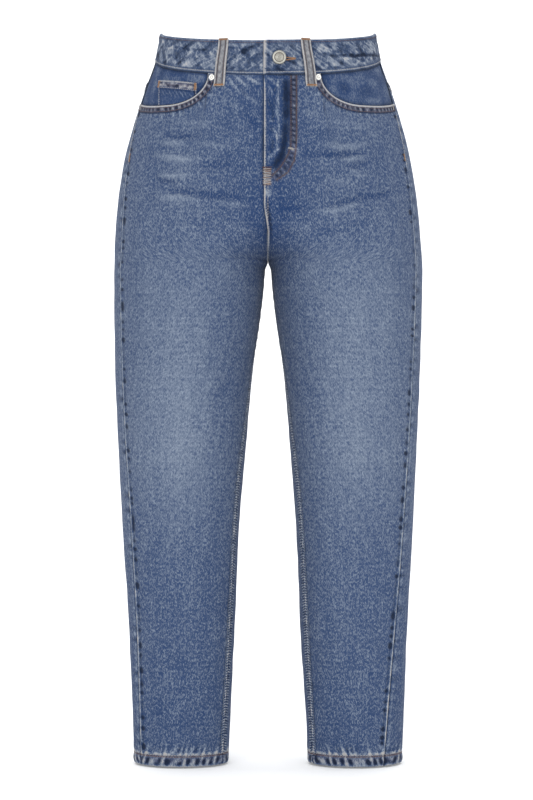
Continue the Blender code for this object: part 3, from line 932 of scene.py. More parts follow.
def front_line(points: Sequence[tuple[float, float]], step: float = 3.0 * MM) -> Array:
    """Return a line on the front of the form through places of x and z in mm, in small steps."""
    corners = np.array(points, float) * MM
    arcs = np.concatenate([[0.0], np.cumsum(np.linalg.norm(np.diff(corners, axis=0), axis=1))])
    spots = np.linspace(0.0, arcs[-1], max(2, int(arcs[-1] / step) + 1))
    x, z = np.interp(spots, arcs, corners[:, 0]), np.interp(spots, arcs, corners[:, 1])
    point, _ = FORM.body(Side.LEFT, FORM.angle_at(np.abs(x), z), z)
    return np.stack([x, point[:, 1], z], axis=-1)


@dataclass(frozen=True)
class Layout:
    """The rows and columns of the leg panels, crowded where the relief is fine."""

    edge_rows: int = 8
    edge_step: float = 1.3 * MM
    rise_rows: int = 96
    rise_crowd: float = 2.0
    leg_rows: int = 205
    leg_crowd: float = 6.0
    fan_rows: int = 158
    shaped_rows: int = 66
    hem_rows: int = 10

    def heights(self, inner_top: float, outer_top: float) -> tuple[Array, Array]:
        """Return the height of each row at the inner and the outer edge of a panel."""
        rim = np.arange(self.edge_rows) * self.edge_step
        start = inner_top - self.edge_rows * self.edge_step
        inner = [inner_top - rim, CROTCH + (start - CROTCH) * march(self.rise_rows, self.rise_crowd)[::-1]]
        inner.append(CROTCH + (HEM_TOP - CROTCH) * march(self.leg_rows, self.leg_crowd)[1:])
        inner = np.concatenate(inner)
        start = outer_top - self.edge_rows * self.edge_step
        count = self.fan_rows - self.edge_rows
        fan = np.linspace(start, inner[self.fan_rows], count, endpoint=False)
        outer = np.concatenate([outer_top - rim, fan, inner[self.fan_rows:]])
        hem = np.linspace(HEM_TOP, HEM, self.hem_rows + 1)[1:]
        return np.concatenate([inner, hem]), np.concatenate([outer, hem])

    def places(self, top: Array, edges: Callable[[Array], tuple[Array, Array]]) -> tuple[Array, Array]:
        """Return a panel's angles and heights.

        Args:
            top: the top edge from the inner to the outer end, as rows of angle and height.
            edges: gives the inner and the outer angle at heights.

        Returns:
            The angles and the heights, by row and column.
        """
        inner_z, outer_z = self.heights(top[0, 1], top[-1, 1])
        first, last = edges(top[:1, 1])[0][0], edges(top[-1:, 1])[1][0]
        shares = (top[:, 0] - first) / (last - first)
        even = np.linspace(0.0, 1.0, len(top))
        number = np.arange(len(inner_z))[:, None]
        shaped = 1.0 - ease(self.edge_rows, self.edge_rows + self.shaped_rows, number)
        share = mix(even[None], shares[None], shaped)
        plain_top = mix(inner_z[0], outer_z[0], shares)
        z = mix(inner_z[:, None], outer_z[:, None], share) + (top[:, 1] - plain_top)[None] * shaped
        start, end = edges(inner_z)[0][:, None], edges(outer_z)[1][:, None]
        return mix(start, end, share), z


LAYOUT = Layout()


def pocket_curve(side: Side, grow: float = 0.0) -> Array:
    """Return a pocket mouth, or a line that lies grow outside it, as rows of angle and height."""
    start_x = POCKET_REACH + side * LAP_X - grow
    start_z = float(FORM.waist_seam(FORM.angle_at(start_x, SEAM_SIDE - SEAM_FRONT_DROP))) - SEAM_GAP
    turn = np.pi / 2.0 * shares(MOUTH_STEPS)
    x = start_x + (POCKET_WIDE + grow) * (1.0 - np.cos(turn))
    z = start_z - (POCKET_DEEP + grow) * np.sin(turn)
    angle = FORM.angle_at(x, z)
    end_angle = float(FORM.edges(Way.FRONT, side, np.array([z[-1] + POCKET_RISE]))[1][0])
    share = shares(TAIL_STEPS)[1:]
    tail = np.stack([mix(angle[-1], end_angle, share), z[-1] + POCKET_RISE * share**2], axis=-1)
    return np.concatenate([np.stack([angle, z], axis=-1), tail])


def pocket_mouth(side: Side) -> tuple[Array, Array]:
    """Return the points of a pocket mouth and the normals there."""
    place = pocket_curve(side)
    return FORM.body(side, place[:, 0], place[:, 1])


def hem_wall(z: Array) -> Array:
    """Return the wall of a leg panel, thicker where the hem is turned up."""
    return mix(DENIM_WALL, HEM_WALL, past(z - HEM_TOP, 1.0, -1.0))


def roped_hem(patch: Patch, seed: int) -> None:
    """Give a leg panel its turned-up hem: a stitched groove, slanting ropes with painted shade between them
    and a worn lower fold.
    """
    high = patch.z - HEM
    twist, drift = Ripple(seed, 70.0)(patch.u, 0.0), Ripple(seed + 5, 26.0)(patch.u, 0.0)
    slant = high / (11.0 * MM) * 2.0 + twist * 3.2 + drift * 1.1
    rope = 1.35 * wave(patch.u, 12.5, slant) + 0.65 * Ripple(seed + 3, 11.0)(patch.u, high)
    rope = np.clip(rope, -1.25, 1.25)
    turned = bump(high, 5.6, 6.6)
    patch.out += (0.5 + 0.5 * rope) * MM * turned - 0.6 * MM * bump(high, 13.2, 2.4)
    # Rope crests are rubbed pale; below 0 the valleys between the ropes get painted shade.
    patch.wear += (np.where(rope > 0.0, 0.75, 1.25) * rope - 0.18) * turned
    patch.wear += (0.75 + 0.3 * twist) * bump(high, 0.0, 2.4) + (0.80 + 0.4 * rope) * bump(high, 15.0, 1.7)
    patch.rust += 0.60 * bump(high, 12.4, 1.8) + 0.20 * bump(high, 7.0, 6.0)
    steep = wave(patch.u, 8.5, high / (7.0 * MM) * 2.0 + drift * 2.4)
    above = steep * bump(high, 20.0, 10.0) * np.clip(0.45 + 0.8 * twist, 0.05, 1.0)
    patch.out += 0.35 * MM * above
    # Pale crests and painted shade in the valleys of the steep ropes above the hem.
    patch.wear += np.where(above > 0.0, 0.65, 0.75) * above
    streaks = wave(patch.u, 25.0, slant * 0.5 + 0.8)
    patch.wear += 0.7 * np.clip(streaks * 6.0 - 4.9, 0.0, 1.0) * bump(high, 14.0, 16.0)


def seam_puckers(
    patch: Patch, arc: Array, pitch: float, reach: float, high: float, dark: float, seed: int
) -> None:
    """Add short puckers that cross a seam, uneven in strength, pale on their crests and with painted shade in
    their hollows.

    Args:
        patch: the cloth.
        arc: each place's distance from the seam.
        pitch: the mean spacing along the seam, in mm.
        reach: how far the puckers run into the cloth, in mm.
        high: their height, in mm.
        dark: how dark the painted shade in their hollows is.
        seed: picks their unevenness.
    """
    drift = Ripple(seed, 70.0)(0.3, patch.v)
    pucker = wave(patch.v, pitch, drift * 2.6)
    strength = np.clip(0.6 + 0.55 * Ripple(seed + 1, 45.0)(0.0, patch.v), 0.0, 1.3) * glow(arc, 0.0, reach)
    patch.out += high * MM * pucker * strength
    # Rubbed paleness on the crests, painted shade in the hollows.
    patch.wear += np.where(pucker < 0.0, dark, 0.22) * pucker * strength


def unevenness(patch: Patch, seed: int) -> None:
    """Give a panel the soft unevenness of hanging denim, weak near its edges."""
    margin = past(patch.sides, 0.0, 30.0) * past(patch.top, 0.0, 25.0) * past(patch.z - HEM, 0.0, 60.0)
    soft, fine = Ripple(seed, 120.0, 2.2)(patch.u, patch.v), Ripple(seed + 1, 34.0, 1.3)(patch.u, patch.v)
    patch.out += (0.9 * soft + 0.22 * fine) * MM * margin
    patch.fade += 0.014 * soft + 0.008 * fine


def leg_fading(patch: Patch, way: Way) -> None:
    """Fade the thigh and the seat, and paint shade on the inner leg and the crotch, which are left darker."""
    across, z = np.abs(patch.x), patch.z
    centre = mix(104.0, 110.0, past(z, -300.0, -600.0)) * MM
    thigh = glow(across - centre, 0.0, np.where(across > centre, 64.0, 48.0)) * past(z, -230.0, -360.0)
    thigh = thigh * near(z, -500.0, -660.0)
    knee = glow(across, 112.0, 34.0) * bump(z, -660.0, 280.0)
    # Painted shade where the legs meet at the crotch and round away along the inner leg.
    crotch = glow(across, 0.0, 34.0) * bump(z, -262.0, 75.0)
    inner = glow(across, 25.0, 38.0) * past(z, -270.0, -360.0)
    patch.fade -= 0.045 * past(z, -600.0, -740.0)
    if way is Way.FRONT:
        middle = glow(across, 0.0, 48.0) * past(z, -290.0, -240.0)
        patch.fade += 0.102 * thigh + 0.030 * knee - 0.058 * crotch - 0.018 * inner - 0.070 * middle
    else:
        seat = glow(across, 85.0, 60.0) * bump(z, -190.0, 130.0)
        patch.fade += 0.085 * seat + 0.05 * thigh + 0.02 * knee - 0.05 * crotch - 0.03 * inner - 0.010


@dataclass
class FrontPanel:
    """A front leg panel. The wearer's left one carries the fly lap. The ramp, band and beads are in mm."""

    side: Side
    lap_columns: int = 3
    lap_step: float = 0.35 * MM
    lap_ramp: float = 17.0
    mouth_band: float = 8.4
    bead_pitch: float = 6.4
    folds: tuple[Crease, ...] = ()

    def top(self, count: int = 34) -> Array:
        """Return the top edge: the waist seam, then the pocket mouth."""
        start = float(FORM.edges(Way.FRONT, self.side, np.array([SEAM_SIDE - SEAM_FRONT_DROP]))[0][0])
        mouth = pocket_curve(self.side)
        share = (np.arange(count) / count) ** 0.9
        angles = mix(start, mouth[0, 0], share)
        return np.concatenate([np.stack([angles, FORM.waist_seam(angles) - SEAM_GAP], axis=-1), mouth])

    def edges(self, z: Array) -> tuple[Array, Array]:
        """Return the inner and outer angles, the inner one kept back where the lap's columns lie."""
        inner, outer = FORM.edges(Way.FRONT, self.side, z)
        if self.side > 0:
            inner = FORM.walk(inner, z, self.lap_step * self.lap_columns)
        return inner, outer

    def with_lap(self, angle: Array, z: Array) -> tuple[Array, Array, Array]:
        """Return angles, heights and halves of the form with the lap's columns put first."""
        row_z = z[:, 0]
        edge = FORM.edges(Way.FRONT, Side.LEFT, row_z)[0]
        main_x = FORM.point(angle[:, 0], row_z)[:, 0]
        lap_x = mix(LAP_X, SEAM_GAP / 2.0, np.clip((LAP_FULL_TO - row_z) / (LAP_FULL_TO - LAP_END), 0.0, 1.0))
        extra, halves = [], []
        for k in range(self.lap_columns):
            x = mix(lap_x, main_x, k / self.lap_columns)
            high = FORM.angle_at(np.abs(x), row_z)
            low = FORM.walk(edge, row_z, self.lap_step * k)
            extra.append(np.where(row_z > LAP_END, high, low))
            halves.append(np.where((row_z > LAP_END) & (x < 0.0), -1.0, 1.0))
        halves += [np.ones(len(z))] * z.shape[1]
        angle = np.concatenate([np.stack(extra, axis=1), angle], axis=1)
        z = np.concatenate([np.repeat(z[:, :1], self.lap_columns, axis=1), z], axis=1)
        return angle, z, np.stack(halves, axis=1)

    def patch(self) -> Patch:
        """Return the panel with all of its relief."""
        angle, z = LAYOUT.places(self.top(), self.edges)
        half = np.full(z.shape, float(self.side))
        if self.side > 0:
            angle, z, half = self.with_lap(angle, z)
        direction = FORM.normal(angle, z)
        plain = FORM.point(angle, z)
        flip = np.stack([half, np.ones(z.shape), np.ones(z.shape)], axis=-1)
        made = Patch(
            f"jeans_front_{self.side.word}",
            lambda out: ((plain + direction * out[..., None]) * flip, direction * flip),
            z.shape,
            hem_wall(z),
            self.side < 0,
        )
        if self.side > 0:
            ramp = near(made.left - made.left[:, self.lap_columns:self.lap_columns + 1], 0.0, self.lap_ramp)
            made.shift[..., 1] -= LAP_LIFT * ease(LAP_FLAT, LAP_END, z[:, :1]) * ramp
        self.dress_surface(made)
        return made

    def dress_surface(self, made: Patch) -> None:
        """Add the panel's seams, folds, wear and fading."""
        unevenness(made, 10 + self.side)
        leg_fading(made, Way.FRONT)
        self.side_seam(made)
        self.inner_edge(made)
        self.mouth(made)
        press(made, self.folds, 0.04, 2.2)
        roped_hem(made, 30 + self.side)

    def side_seam(self, made: Patch) -> None:
        """Lay the front over the back along the side seam, with a pale edge, a groove of painted shade and
        dark spots beside it.
        """
        arc, clear = made.right, past(made.foot, 6.0, 14.0)
        seeds = ((41, 26.0), (55, 60.0), (57, 38.0))
        broken, drift, strong = (Ripple(seed + self.side, length)(0.0, made.v) for seed, length in seeds)
        made.out += 0.75 * MM * near(arc, 1.5, 5.5) * clear
        # Painted shade in the groove beside the pale raised edge.
        made.wear += ((0.85 + 0.3 * broken) * 0.95 * near(arc, 0.8, 2.6) - 0.42 * bump(arc, 4.6, 2.2)) * clear
        seam_puckers(made, arc, 15.0, 7.0, 0.16, 0.25, 50 + self.side)
        spots = np.clip(wave(made.v, 15.5, 3.4 * drift) * 2.2 - 0.9, 0.0, 1.3)
        made.wear -= 1.35 * spots * np.clip(0.7 + 0.7 * strong, 0.0, 1.2) * bump(arc, 5.0, 5.0) * clear

    def inner_edge(self, made: Patch) -> None:
        """Shape the edge at the fly, the rise and the inseam, with pale worn edges, painted shade in the
        grooves beside them and a painted shadow under the fly lap.
        """
        arc, z, clear = made.left, made.z, past(made.foot, 6.0, 14.0)
        leg = near(z - CROTCH, -12.0, 4.0)
        rope = Ripple(60 + self.side, 16.0, 1.0, 8)(0.0, made.v)
        made.out += 0.8 * MM * near(arc, 2.0, 6.0) * leg * clear
        made.wear += (0.55 + 0.45 * rope) * near(arc, 1.2, 3.4) * leg * clear
        # Painted shade in the groove beside the inseam's raised edge.
        made.wear -= 0.45 * bump(arc, 5.0, 2.4) * leg
        made.crimp += 0.75 * near(arc, 3.4, 4.6) * leg * clear
        seam_puckers(made, arc + FAR * (leg < 0.5), 13.0, 9.0, 0.3, 0.4, 70 + self.side)
        rise = (1.0 - leg) * past(z - CROTCH, 0.0, 26.0)
        if self.side is Side.RIGHT:
            # Painted shadow that the fly lap casts on the right front beside its edge.
            shade = past(z, -240.0, -90.0) * 0.25 + 0.35 + 0.4 * bump(z, -138.0, 34.0)
            made.wear -= shade * near(arc, 4.0, 10.0) * rise
            return
        lap = rise * past(made.top, 0.0, 9.0)
        # Pale lap edge, with painted shade just inside it.
        made.wear += ((1.25 + 0.35 * rope) * near(arc, 0.4, 1.9) - 0.25 * bump(arc, 3.6, 1.6)) * lap
        # Beads along the lap's stitching, with painted shade in the groove beside them.
        beads = 0.55 * wave(made.v, 6.0) * bump(arc, 5.6, 1.8) - 0.75 * bump(arc, 4.4, 3.4)
        made.wear += beads * bump(z, -230.0, 36.0)
        self.fly(made)

    def fly(self, made: Patch) -> None:
        """Shape the fly placket: the ridge of the hidden zip, the trough beside it and the J of stitching,
        with painted shade in the troughs and along the J.
        """
        for ridge in FLY_LINES:
            gap, _ = distance_to(made, front_line(ridge.points))
            made.out += ridge.high * MM * bump(gap, 0.0, ridge.wide)
            made.wear += ridge.pale * bump(gap, 0.0, ridge.wide)
        gap, along = distance_to(made, front_line(FLY_TROUGH))
        made.out -= 1.2 * MM * bump(gap, 0.0, 8.0)
        # Painted shade in the trough beside the placket.
        made.wear -= (0.95 + 0.2 * Ripple(83, 22.0)(along, 0.0)) * bump(gap, 0.0, 7.6)
        made.fade -= 0.040 * ((made.x > 0.0) & (made.x < 30.0 * MM) & (made.z > -165.0 * MM))
        for x, z, reach, pale in FLY_SPOTS:
            made.wear += pale * glow(np.hypot(made.x - x * MM, made.z - z * MM), 0.0, reach)
        for line in (INNER_J, OUTER_J):
            gap, _ = distance_to(made, front_line(line))
            made.out -= 0.35 * MM * bump(gap, 0.0, 1.8)
            # Painted shade in the sunk grooves of the J stitching.
            made.wear -= 0.55 * bump(gap, 0.0, 2.2)
            made.rust += 0.55 * bump(gap, 0.0, 2.2)
        middle = front_line([((a[0] + b[0]) / 2.0, (a[1] + b[1]) / 2.0) for a, b in zip(INNER_J, OUTER_J)])
        gap, along = distance_to(made, middle)
        beads = wave(along, 7.2, 1.4 * Ripple(84, 30.0)(along, 0.0))
        made.out += (0.35 + 0.35 * beads) * MM * bump(gap, 0.0, 3.6)
        made.wear += np.where(beads > 0.0, 0.80, 0.75) * beads * bump(gap, 0.0, 3.0)
        # Painted shade around the raised beads of the J.
        made.wear -= 0.55 * bump(gap, 0.0, 6.0)
        made.rust += 0.20 * bump(gap, 0.0, 5.0)

    def mouth(self, made: Patch) -> None:
        """Turn in the pocket mouth: a pale fold, a raised band with beads and a dark outer line of painted
        shade.
        """
        gap, along = distance_to(made, pocket_mouth(self.side)[0])
        gap = np.where(made.top < 60.0 * MM, gap, FAR)
        past_band = gap - self.mouth_band * MM
        beads = wave(along, self.bead_pitch, 1.6 * Ripple(91 + self.side, 40.0)(along, 0.0))
        strength = 0.75 + 0.4 * Ripple(93 + self.side, 25.0)(along, 0.0)
        band = bump(gap, 4.9, 3.4)
        fringe = glow(np.maximum(past_band, 1.0 * MM), 1.0, 6.5) * (past_band > 1.0 * MM)
        made.out += (0.85 * near(past_band, -0.8, 1.4) + beads * (0.28 * band + 0.2 * fringe)) * MM
        made.wear += (beads * 1.4 * strength - 0.60) * band + 0.42 * beads * strength * fringe
        # Pale fold edge; painted shade in the groove past the band and just inside the fold.
        made.wear += 1.4 * near(gap, 1.0, 2.3) - 0.95 * bump(past_band, 0.4, 1.8) - 0.35 * bump(gap, 2.7, 1.0)
        made.rust += 0.42 * bump(gap, 5.0, 4.6)


class Ridge(NamedTuple):
    """A bent ridge, or below 0 a trough: its points, half width and height in mm, and its paleness, which
    below 0 is painted shade.
    """

    points: tuple[tuple[float, float], ...]
    wide: float
    high: float
    pale: float


FLY_LINES = (
    Ridge(
        ((13.2, -55.0), (13.2, -61.8), (12.7, -79.3), (11.2, -94.2), (13.7, -111.6), (11.2, -129.0),
         (13.2, -142.7)),
        2.6, 0.9, 0.50,
    ),
    Ridge(((13.2, -142.7), (7.0, -148.0), (-0.4, -154.0)), 2.8, 0.8, 0.60),
    Ridge(((-0.4, -101.6), (7.0, -111.6), (11.2, -129.0)), 2.4, 0.4, 0.45),
    Ridge(((0.0, -52.0), (12.0, -61.8)), 2.4, 0.4, 0.45),
    Ridge(((0.0, -62.0), (11.2, -79.3)), 2.4, 0.4, 0.40),
    Ridge(((0.5, -80.0), (6.5, -98.0), (4.5, -120.0)), 2.8, -0.4, -0.45),
    Ridge(((7.5, -66.0), (7.0, -90.0)), 2.6, -0.4, -0.40),
    Ridge(((6.0, -132.0), (4.0, -146.0)), 3.4, -0.4, -0.50),
)
FLY_TROUGH = ((22.8, -58.0), (23.3, -80.0), (22.9, -104.7), (21.4, -130.0), (17.0, -150.0), (9.0, -163.0))
# Rubbed spots on the fly: x, z, reach and paleness
FLY_SPOTS = ((33.0, -142.0, 4.0, 0.95), (-0.5, -197.0, 6.0, 0.60))
INNER_J = ((28.8, -48.3), (28.8, -92.2), (28.8, -137.4), (24.8, -149.5), (16.2, -163.7), (4.5, -175.9))
OUTER_J = ((35.7, -48.3), (35.7, -92.2), (35.7, -133.0), (33.2, -155.5), (24.8, -171.1), (10.5, -180.8))
RIGHT_FOLDS = (
    Crease(-139.7, -128.2, -98.0, -131.2, 7.0, 0.8, 0.13),
    Crease(-84.0, -133.2, -34.0, -137.8, 7.0, 0.7, 0.11),
    Crease(-134.0, -119.8, -84.0, -124.4, 5.5, -0.9, -0.12),
    Crease(-146.0, -144.8, -80.0, -153.9, 7.5, 1.0, 0.17),
    Crease(-94.0, -158.4, -45.0, -159.2, 8.0, -0.9, -0.13),
    Crease(-141.0, -170.4, -95.0, -174.2, 7.0, 0.8, 0.14),
    Crease(-148.0, -175.6, -106.0, -180.0, 4.5, -0.9, -0.12),
    Crease(-135.0, -187.6, -31.0, -200.6, 8.0, -1.1, -0.15),
    Crease(-145.0, -198.4, -81.0, -201.9, 8.0, 0.9, 0.13),
    Crease(-66.0, -206.6, -18.0, -213.0, 7.0, 0.8, 0.12),
    Crease(-126.0, -102.2, -70.0, -108.8, 8.0, 0.5, 0.08),
    Crease(-50.0, -50.0, -31.0, -72.0, 3.4, 0.5, 0.30),
    Crease(-42.0, -48.0, -22.0, -65.0, 3.0, 0.5, 0.28),
    Crease(-30.0, -47.5, -4.5, -62.0, 2.8, 0.5, 0.30),
    Crease(-34.0, -66.0, -8.0, -88.0, 4.5, 0.4, 0.14),
    Crease(-46.0, -53.0, -26.0, -75.0, 3.2, -0.4, -0.20),
    Crease(-30.0, -92.0, -8.0, -118.0, 7.0, -0.7, -0.10),
    Crease(-60.0, -232.0, -12.0, -246.0, 8.0, 0.8, 0.08),
    Crease(-120.0, -222.0, -40.0, -240.0, 10.0, -0.6, -0.06),
)
LEFT_FOLDS = (
    Crease(42.0, -145.6, 128.0, -142.6, 6.5, -1.0, -0.17),
    Crease(70.0, -137.2, 126.0, -133.4, 7.0, 0.9, 0.14),
    Crease(82.0, -152.4, 128.0, -147.8, 7.0, 0.8, 0.13),
    Crease(95.0, -161.8, 130.0, -155.6, 6.0, -0.8, -0.11),
    Crease(102.0, -168.2, 126.0, -172.0, 7.0, 0.6, 0.10),
    Crease(73.0, -180.0, 106.0, -180.4, 8.0, 0.7, 0.11),
    Crease(74.0, -213.6, 124.0, -197.6, 7.0, -1.1, -0.17),
    Crease(112.0, -201.0, 164.0, -190.0, 6.0, -0.9, -0.14),
    Crease(58.0, -223.0, 116.0, -206.0, 8.0, 1.0, 0.15),
    Crease(7.0, -216.4, 52.0, -213.4, 7.0, -0.8, -0.12),
    Crease(74.0, -104.7, 138.0, -107.2, 9.0, 0.5, 0.08),
    Crease(38.0, -92.0, 62.0, -101.0, 8.0, 0.6, 0.06),
    Crease(44.0, -118.0, 90.0, -121.0, 8.0, -0.5, -0.06),
    Crease(12.0, -236.0, 58.0, -240.0, 9.0, 0.7, 0.07),
    Crease(50.0, -246.0, 130.0, -232.0, 10.0, -0.6, -0.06),
)
FOLDS = {Side.LEFT: LEFT_FOLDS, Side.RIGHT: RIGHT_FOLDS}


def yoke_line(side: Side, drop: float, count: int = 100) -> Array:
    """Return the yoke seam from the centre back to the side seam, as rows of angle and height."""
    inner = float(FORM.edges(Way.BACK, side, np.array([YOKE_CENTRE]))[0][0])
    outer = float(FORM.edges(Way.BACK, side, np.array([YOKE_SIDE]))[1][0])
    angles = np.linspace(inner, outer, count + 1)
    start = float(FORM.side_seam(side, YOKE_SIDE))
    height = mix(YOKE_SIDE, YOKE_CENTRE, (angles - start) / (np.pi / 2.0 - start))
    return np.stack([angles, height + drop], axis=-1)


def on_form(name: str, side: Side, angle: Array, z: Array, wall: Any, way: Way, out: Any = 0.0) -> Patch:
    """Return a sheet that lies on the form.

    Args:
        name: the object's name.
        side: the half of the garment.
        angle: the places' angles.
        z: the places' heights.
        wall: the cloth's thickness.
        way: whether its columns run out from the middle of the front or of the back.
        out: how far the sheet's outer skin stands out before its relief.

    Returns:
        The sheet.
    """
    return Patch(name, lambda relief: FORM.body(side, angle, z, relief + out), z.shape, wall, side == way)


BACK_FOLDS = (
    Crease(22.0, -262.0, 92.0, -283.0, 9.0, -1.3, -0.10),
    Crease(26.0, -247.0, 112.0, -262.0, 10.0, 1.0, 0.09),
    Crease(32.0, -292.0, 118.0, -302.0, 10.0, 1.1, 0.08),
    Crease(40.0, -312.0, 104.0, -330.0, 9.0, -0.9, -0.07),
    Crease(52.0, -548.0, 138.0, -566.0, 8.0, 1.2, 0.14),
    Crease(58.0, -570.0, 150.0, -583.0, 7.0, -1.3, -0.12),
    Crease(48.0, -598.0, 128.0, -590.0, 8.0, 1.3, 0.15),
    Crease(66.0, -620.0, 158.0, -606.0, 7.0, -1.1, -0.11),
    Crease(56.0, -642.0, 140.0, -634.0, 8.0, 1.0, 0.12),
    Crease(70.0, -664.0, 132.0, -656.0, 8.0, -0.8, -0.08),
    Crease(64.0, -866.0, 126.0, -877.0, 9.0, 0.9, 0.08),
    Crease(72.0, -886.0, 146.0, -880.0, 8.0, -0.9, -0.08),
)


@dataclass
class BackPanel:
    """A back leg panel, from the yoke to the hem. Its folds lie where the photo shows nothing."""

    side: Side

    def patch(self) -> Patch:
        """Return the panel with all of its relief."""
        top = yoke_line(self.side, -SEAM_GAP / 2.0)
        angle, z = LAYOUT.places(top, lambda height: FORM.edges(Way.BACK, self.side, height))
        made = on_form(f"jeans_back_{self.side.word}", self.side, angle, z, hem_wall(z), Way.BACK)
        unevenness(made, 20 + self.side)
        leg_fading(made, Way.BACK)
        jitter = np.random.default_rng(SEED + 7 * self.side).uniform(-5.0, 5.0, (len(BACK_FOLDS), 2))
        folds = [
            fold._replace(x0=self.side * (fold.x0 + slip), x1=self.side * (fold.x1 + slip), z0=fold.z0 + drop,
                          z1=fold.z1 - drop)
            for fold, (slip, drop) in zip(BACK_FOLDS, jitter)
        ]
        press(made, folds, 0.06, only=made.y > 0.0)
        self.seams(made)
        roped_hem(made, 35 + self.side)
        return made

    def seams(self, made: Patch) -> None:
        """Sink the side edge under the front panel, and fell the inseam and the centre back seam, with
        painted shade where edges tuck under their neighbours and in the puckers.
        """
        arc, inner = made.right, made.left
        leg = near(made.z - CROTCH, -10.0, 10.0)
        over = 0.6 if self.side is Side.LEFT else -0.2
        made.out -= 0.25 * MM * near(arc, 1.0, 5.0) + 0.2 * MM * near(made.top, 1.0, 6.0)
        made.out += over * MM * near(inner, 7.0, 9.0) * (1.0 - leg)
        # Painted shade along the side edge under the front panel and along the top under the yoke.
        made.wear += 0.30 * bump(arc, 5.2, 3.4) - 0.95 * near(arc, 0.9, 2.4) - 0.6 * near(made.top, 0.8, 2.6)
        # Pale felled centre back edge; painted shade along the inseam edge.
        made.wear += 0.7 * near(inner, 0.8, 2.2) * (1.0 - leg) - 0.7 * near(inner, 0.9, 2.4) * leg
        made.crimp += 0.80 * near(inner, 7.0, 10.0) * leg * past(made.foot, 6.0, 12.0)
        seam_puckers(made, arc, 15.5, 11.0, 0.45, 0.95, 110 + self.side)
        seam_puckers(made, inner + FAR * (leg < 0.5), 14.0, 9.0, 0.3, 0.5, 120 + self.side)


@dataclass
class Yoke:
    """A back yoke, lapped over the back panel."""

    side: Side
    row_count: int = 26

    def patch(self) -> Patch:
        """Return the yoke with its relief, its rubbed paleness and painted shade along its side and top
        edges.
        """
        low = yoke_line(self.side, SEAM_GAP / 2.0)
        high = FORM.waist_seam(low[:, 0]) - SEAM_GAP
        z = mix(high[None], low[None, :, 1], shares(self.row_count)[:, None])
        inner, outer = FORM.edges(Way.BACK, self.side, z)
        angle = np.clip(np.broadcast_to(low[:, 0], z.shape), outer, inner)
        angle[:, -1] = outer[:, -1]
        made = on_form(f"jeans_yoke_{self.side.word}", self.side, angle, z, DENIM_WALL, Way.BACK)
        soft = Ripple(130 + self.side, 60.0)(made.u, made.v)
        beads, band = wave(made.u, 8.0, 1.5 * Ripple(132, 40.0)(made.u, 0.0)), bump(made.foot, 5.0, 4.0)
        made.out += (0.35 * soft * past(made.ends, 0.0, 12.0) + 0.65 * near(made.foot, 8.0, 10.0)) * MM
        made.out += 0.2 * MM * beads * band
        made.fade += 0.03 + 0.012 * soft
        made.wear += (0.4 * beads - 0.1) * band + 0.9 * near(made.foot, 0.8, 2.0)
        # Painted shade along the side seam and under the waistband.
        made.wear -= 0.9 * near(made.right, 0.9, 2.4) + 0.45 * near(made.top, 0.6, 2.4)
        made.wear += 0.6 * near(made.left, 0.8, 2.0) * (self.side is Side.LEFT)
        return made


@dataclass
class Facing:
    """The denim facing that shows inside a pocket mouth."""

    side: Side
    row_count: int = 30
    first_column: int = 10
    lap: float = 2.0 * MM
    rounds: int = 3
    dark_left: float = 0.016
    dark_right: float = 0.040

    def patch(self) -> Patch:
        """Return the facing with soft worn paleness, darker on the side of the coin pocket, with painted
        shadow along the pocket mouth and under the waistband.
        """
        low = pocket_curve(self.side, FACING_HIDDEN)[self.first_column:]
        end = FORM.walk(low[-1:, 0], low[-1:, 1], self.lap)[0]
        angle = np.append(low[:-1, 0], end)
        across = (angle - angle[0]) / (end - angle[0])
        share = shares(self.row_count)[:, None]
        spread = angle[None]
        for _ in range(self.rounds):
            z = mix(FORM.waist_seam(spread) - SEAM_GAP, low[None, :, 1], share)
            end = FORM.walk(FORM.side_seam(self.side, z[:, -1]), z[:, -1], self.lap)[:, None]
            spread = mix(angle[0], end, across[None])
        z = mix(FORM.waist_seam(spread) - SEAM_GAP, low[None, :, 1], share)
        name = f"jeans_pocket_facing_{self.side.word}"
        made = on_form(name, self.side, spread, z, DENIM_WALL, Way.FRONT, FACING_OUT)
        soft = Ripple(140 + self.side, 26.0)(made.u, made.v)
        gap, _ = distance_to(made, pocket_mouth(self.side)[0])
        made.fade += 0.02 * soft - (self.dark_right if self.side is Side.RIGHT else self.dark_left)
        # Painted shadow cast by the front panel's mouth edge and by the waistband.
        made.wear += 0.12 * soft - 0.65 * near(gap, 0.5, 7.0) - 0.5 * near(made.top, 0.5, 3.5)
        return made


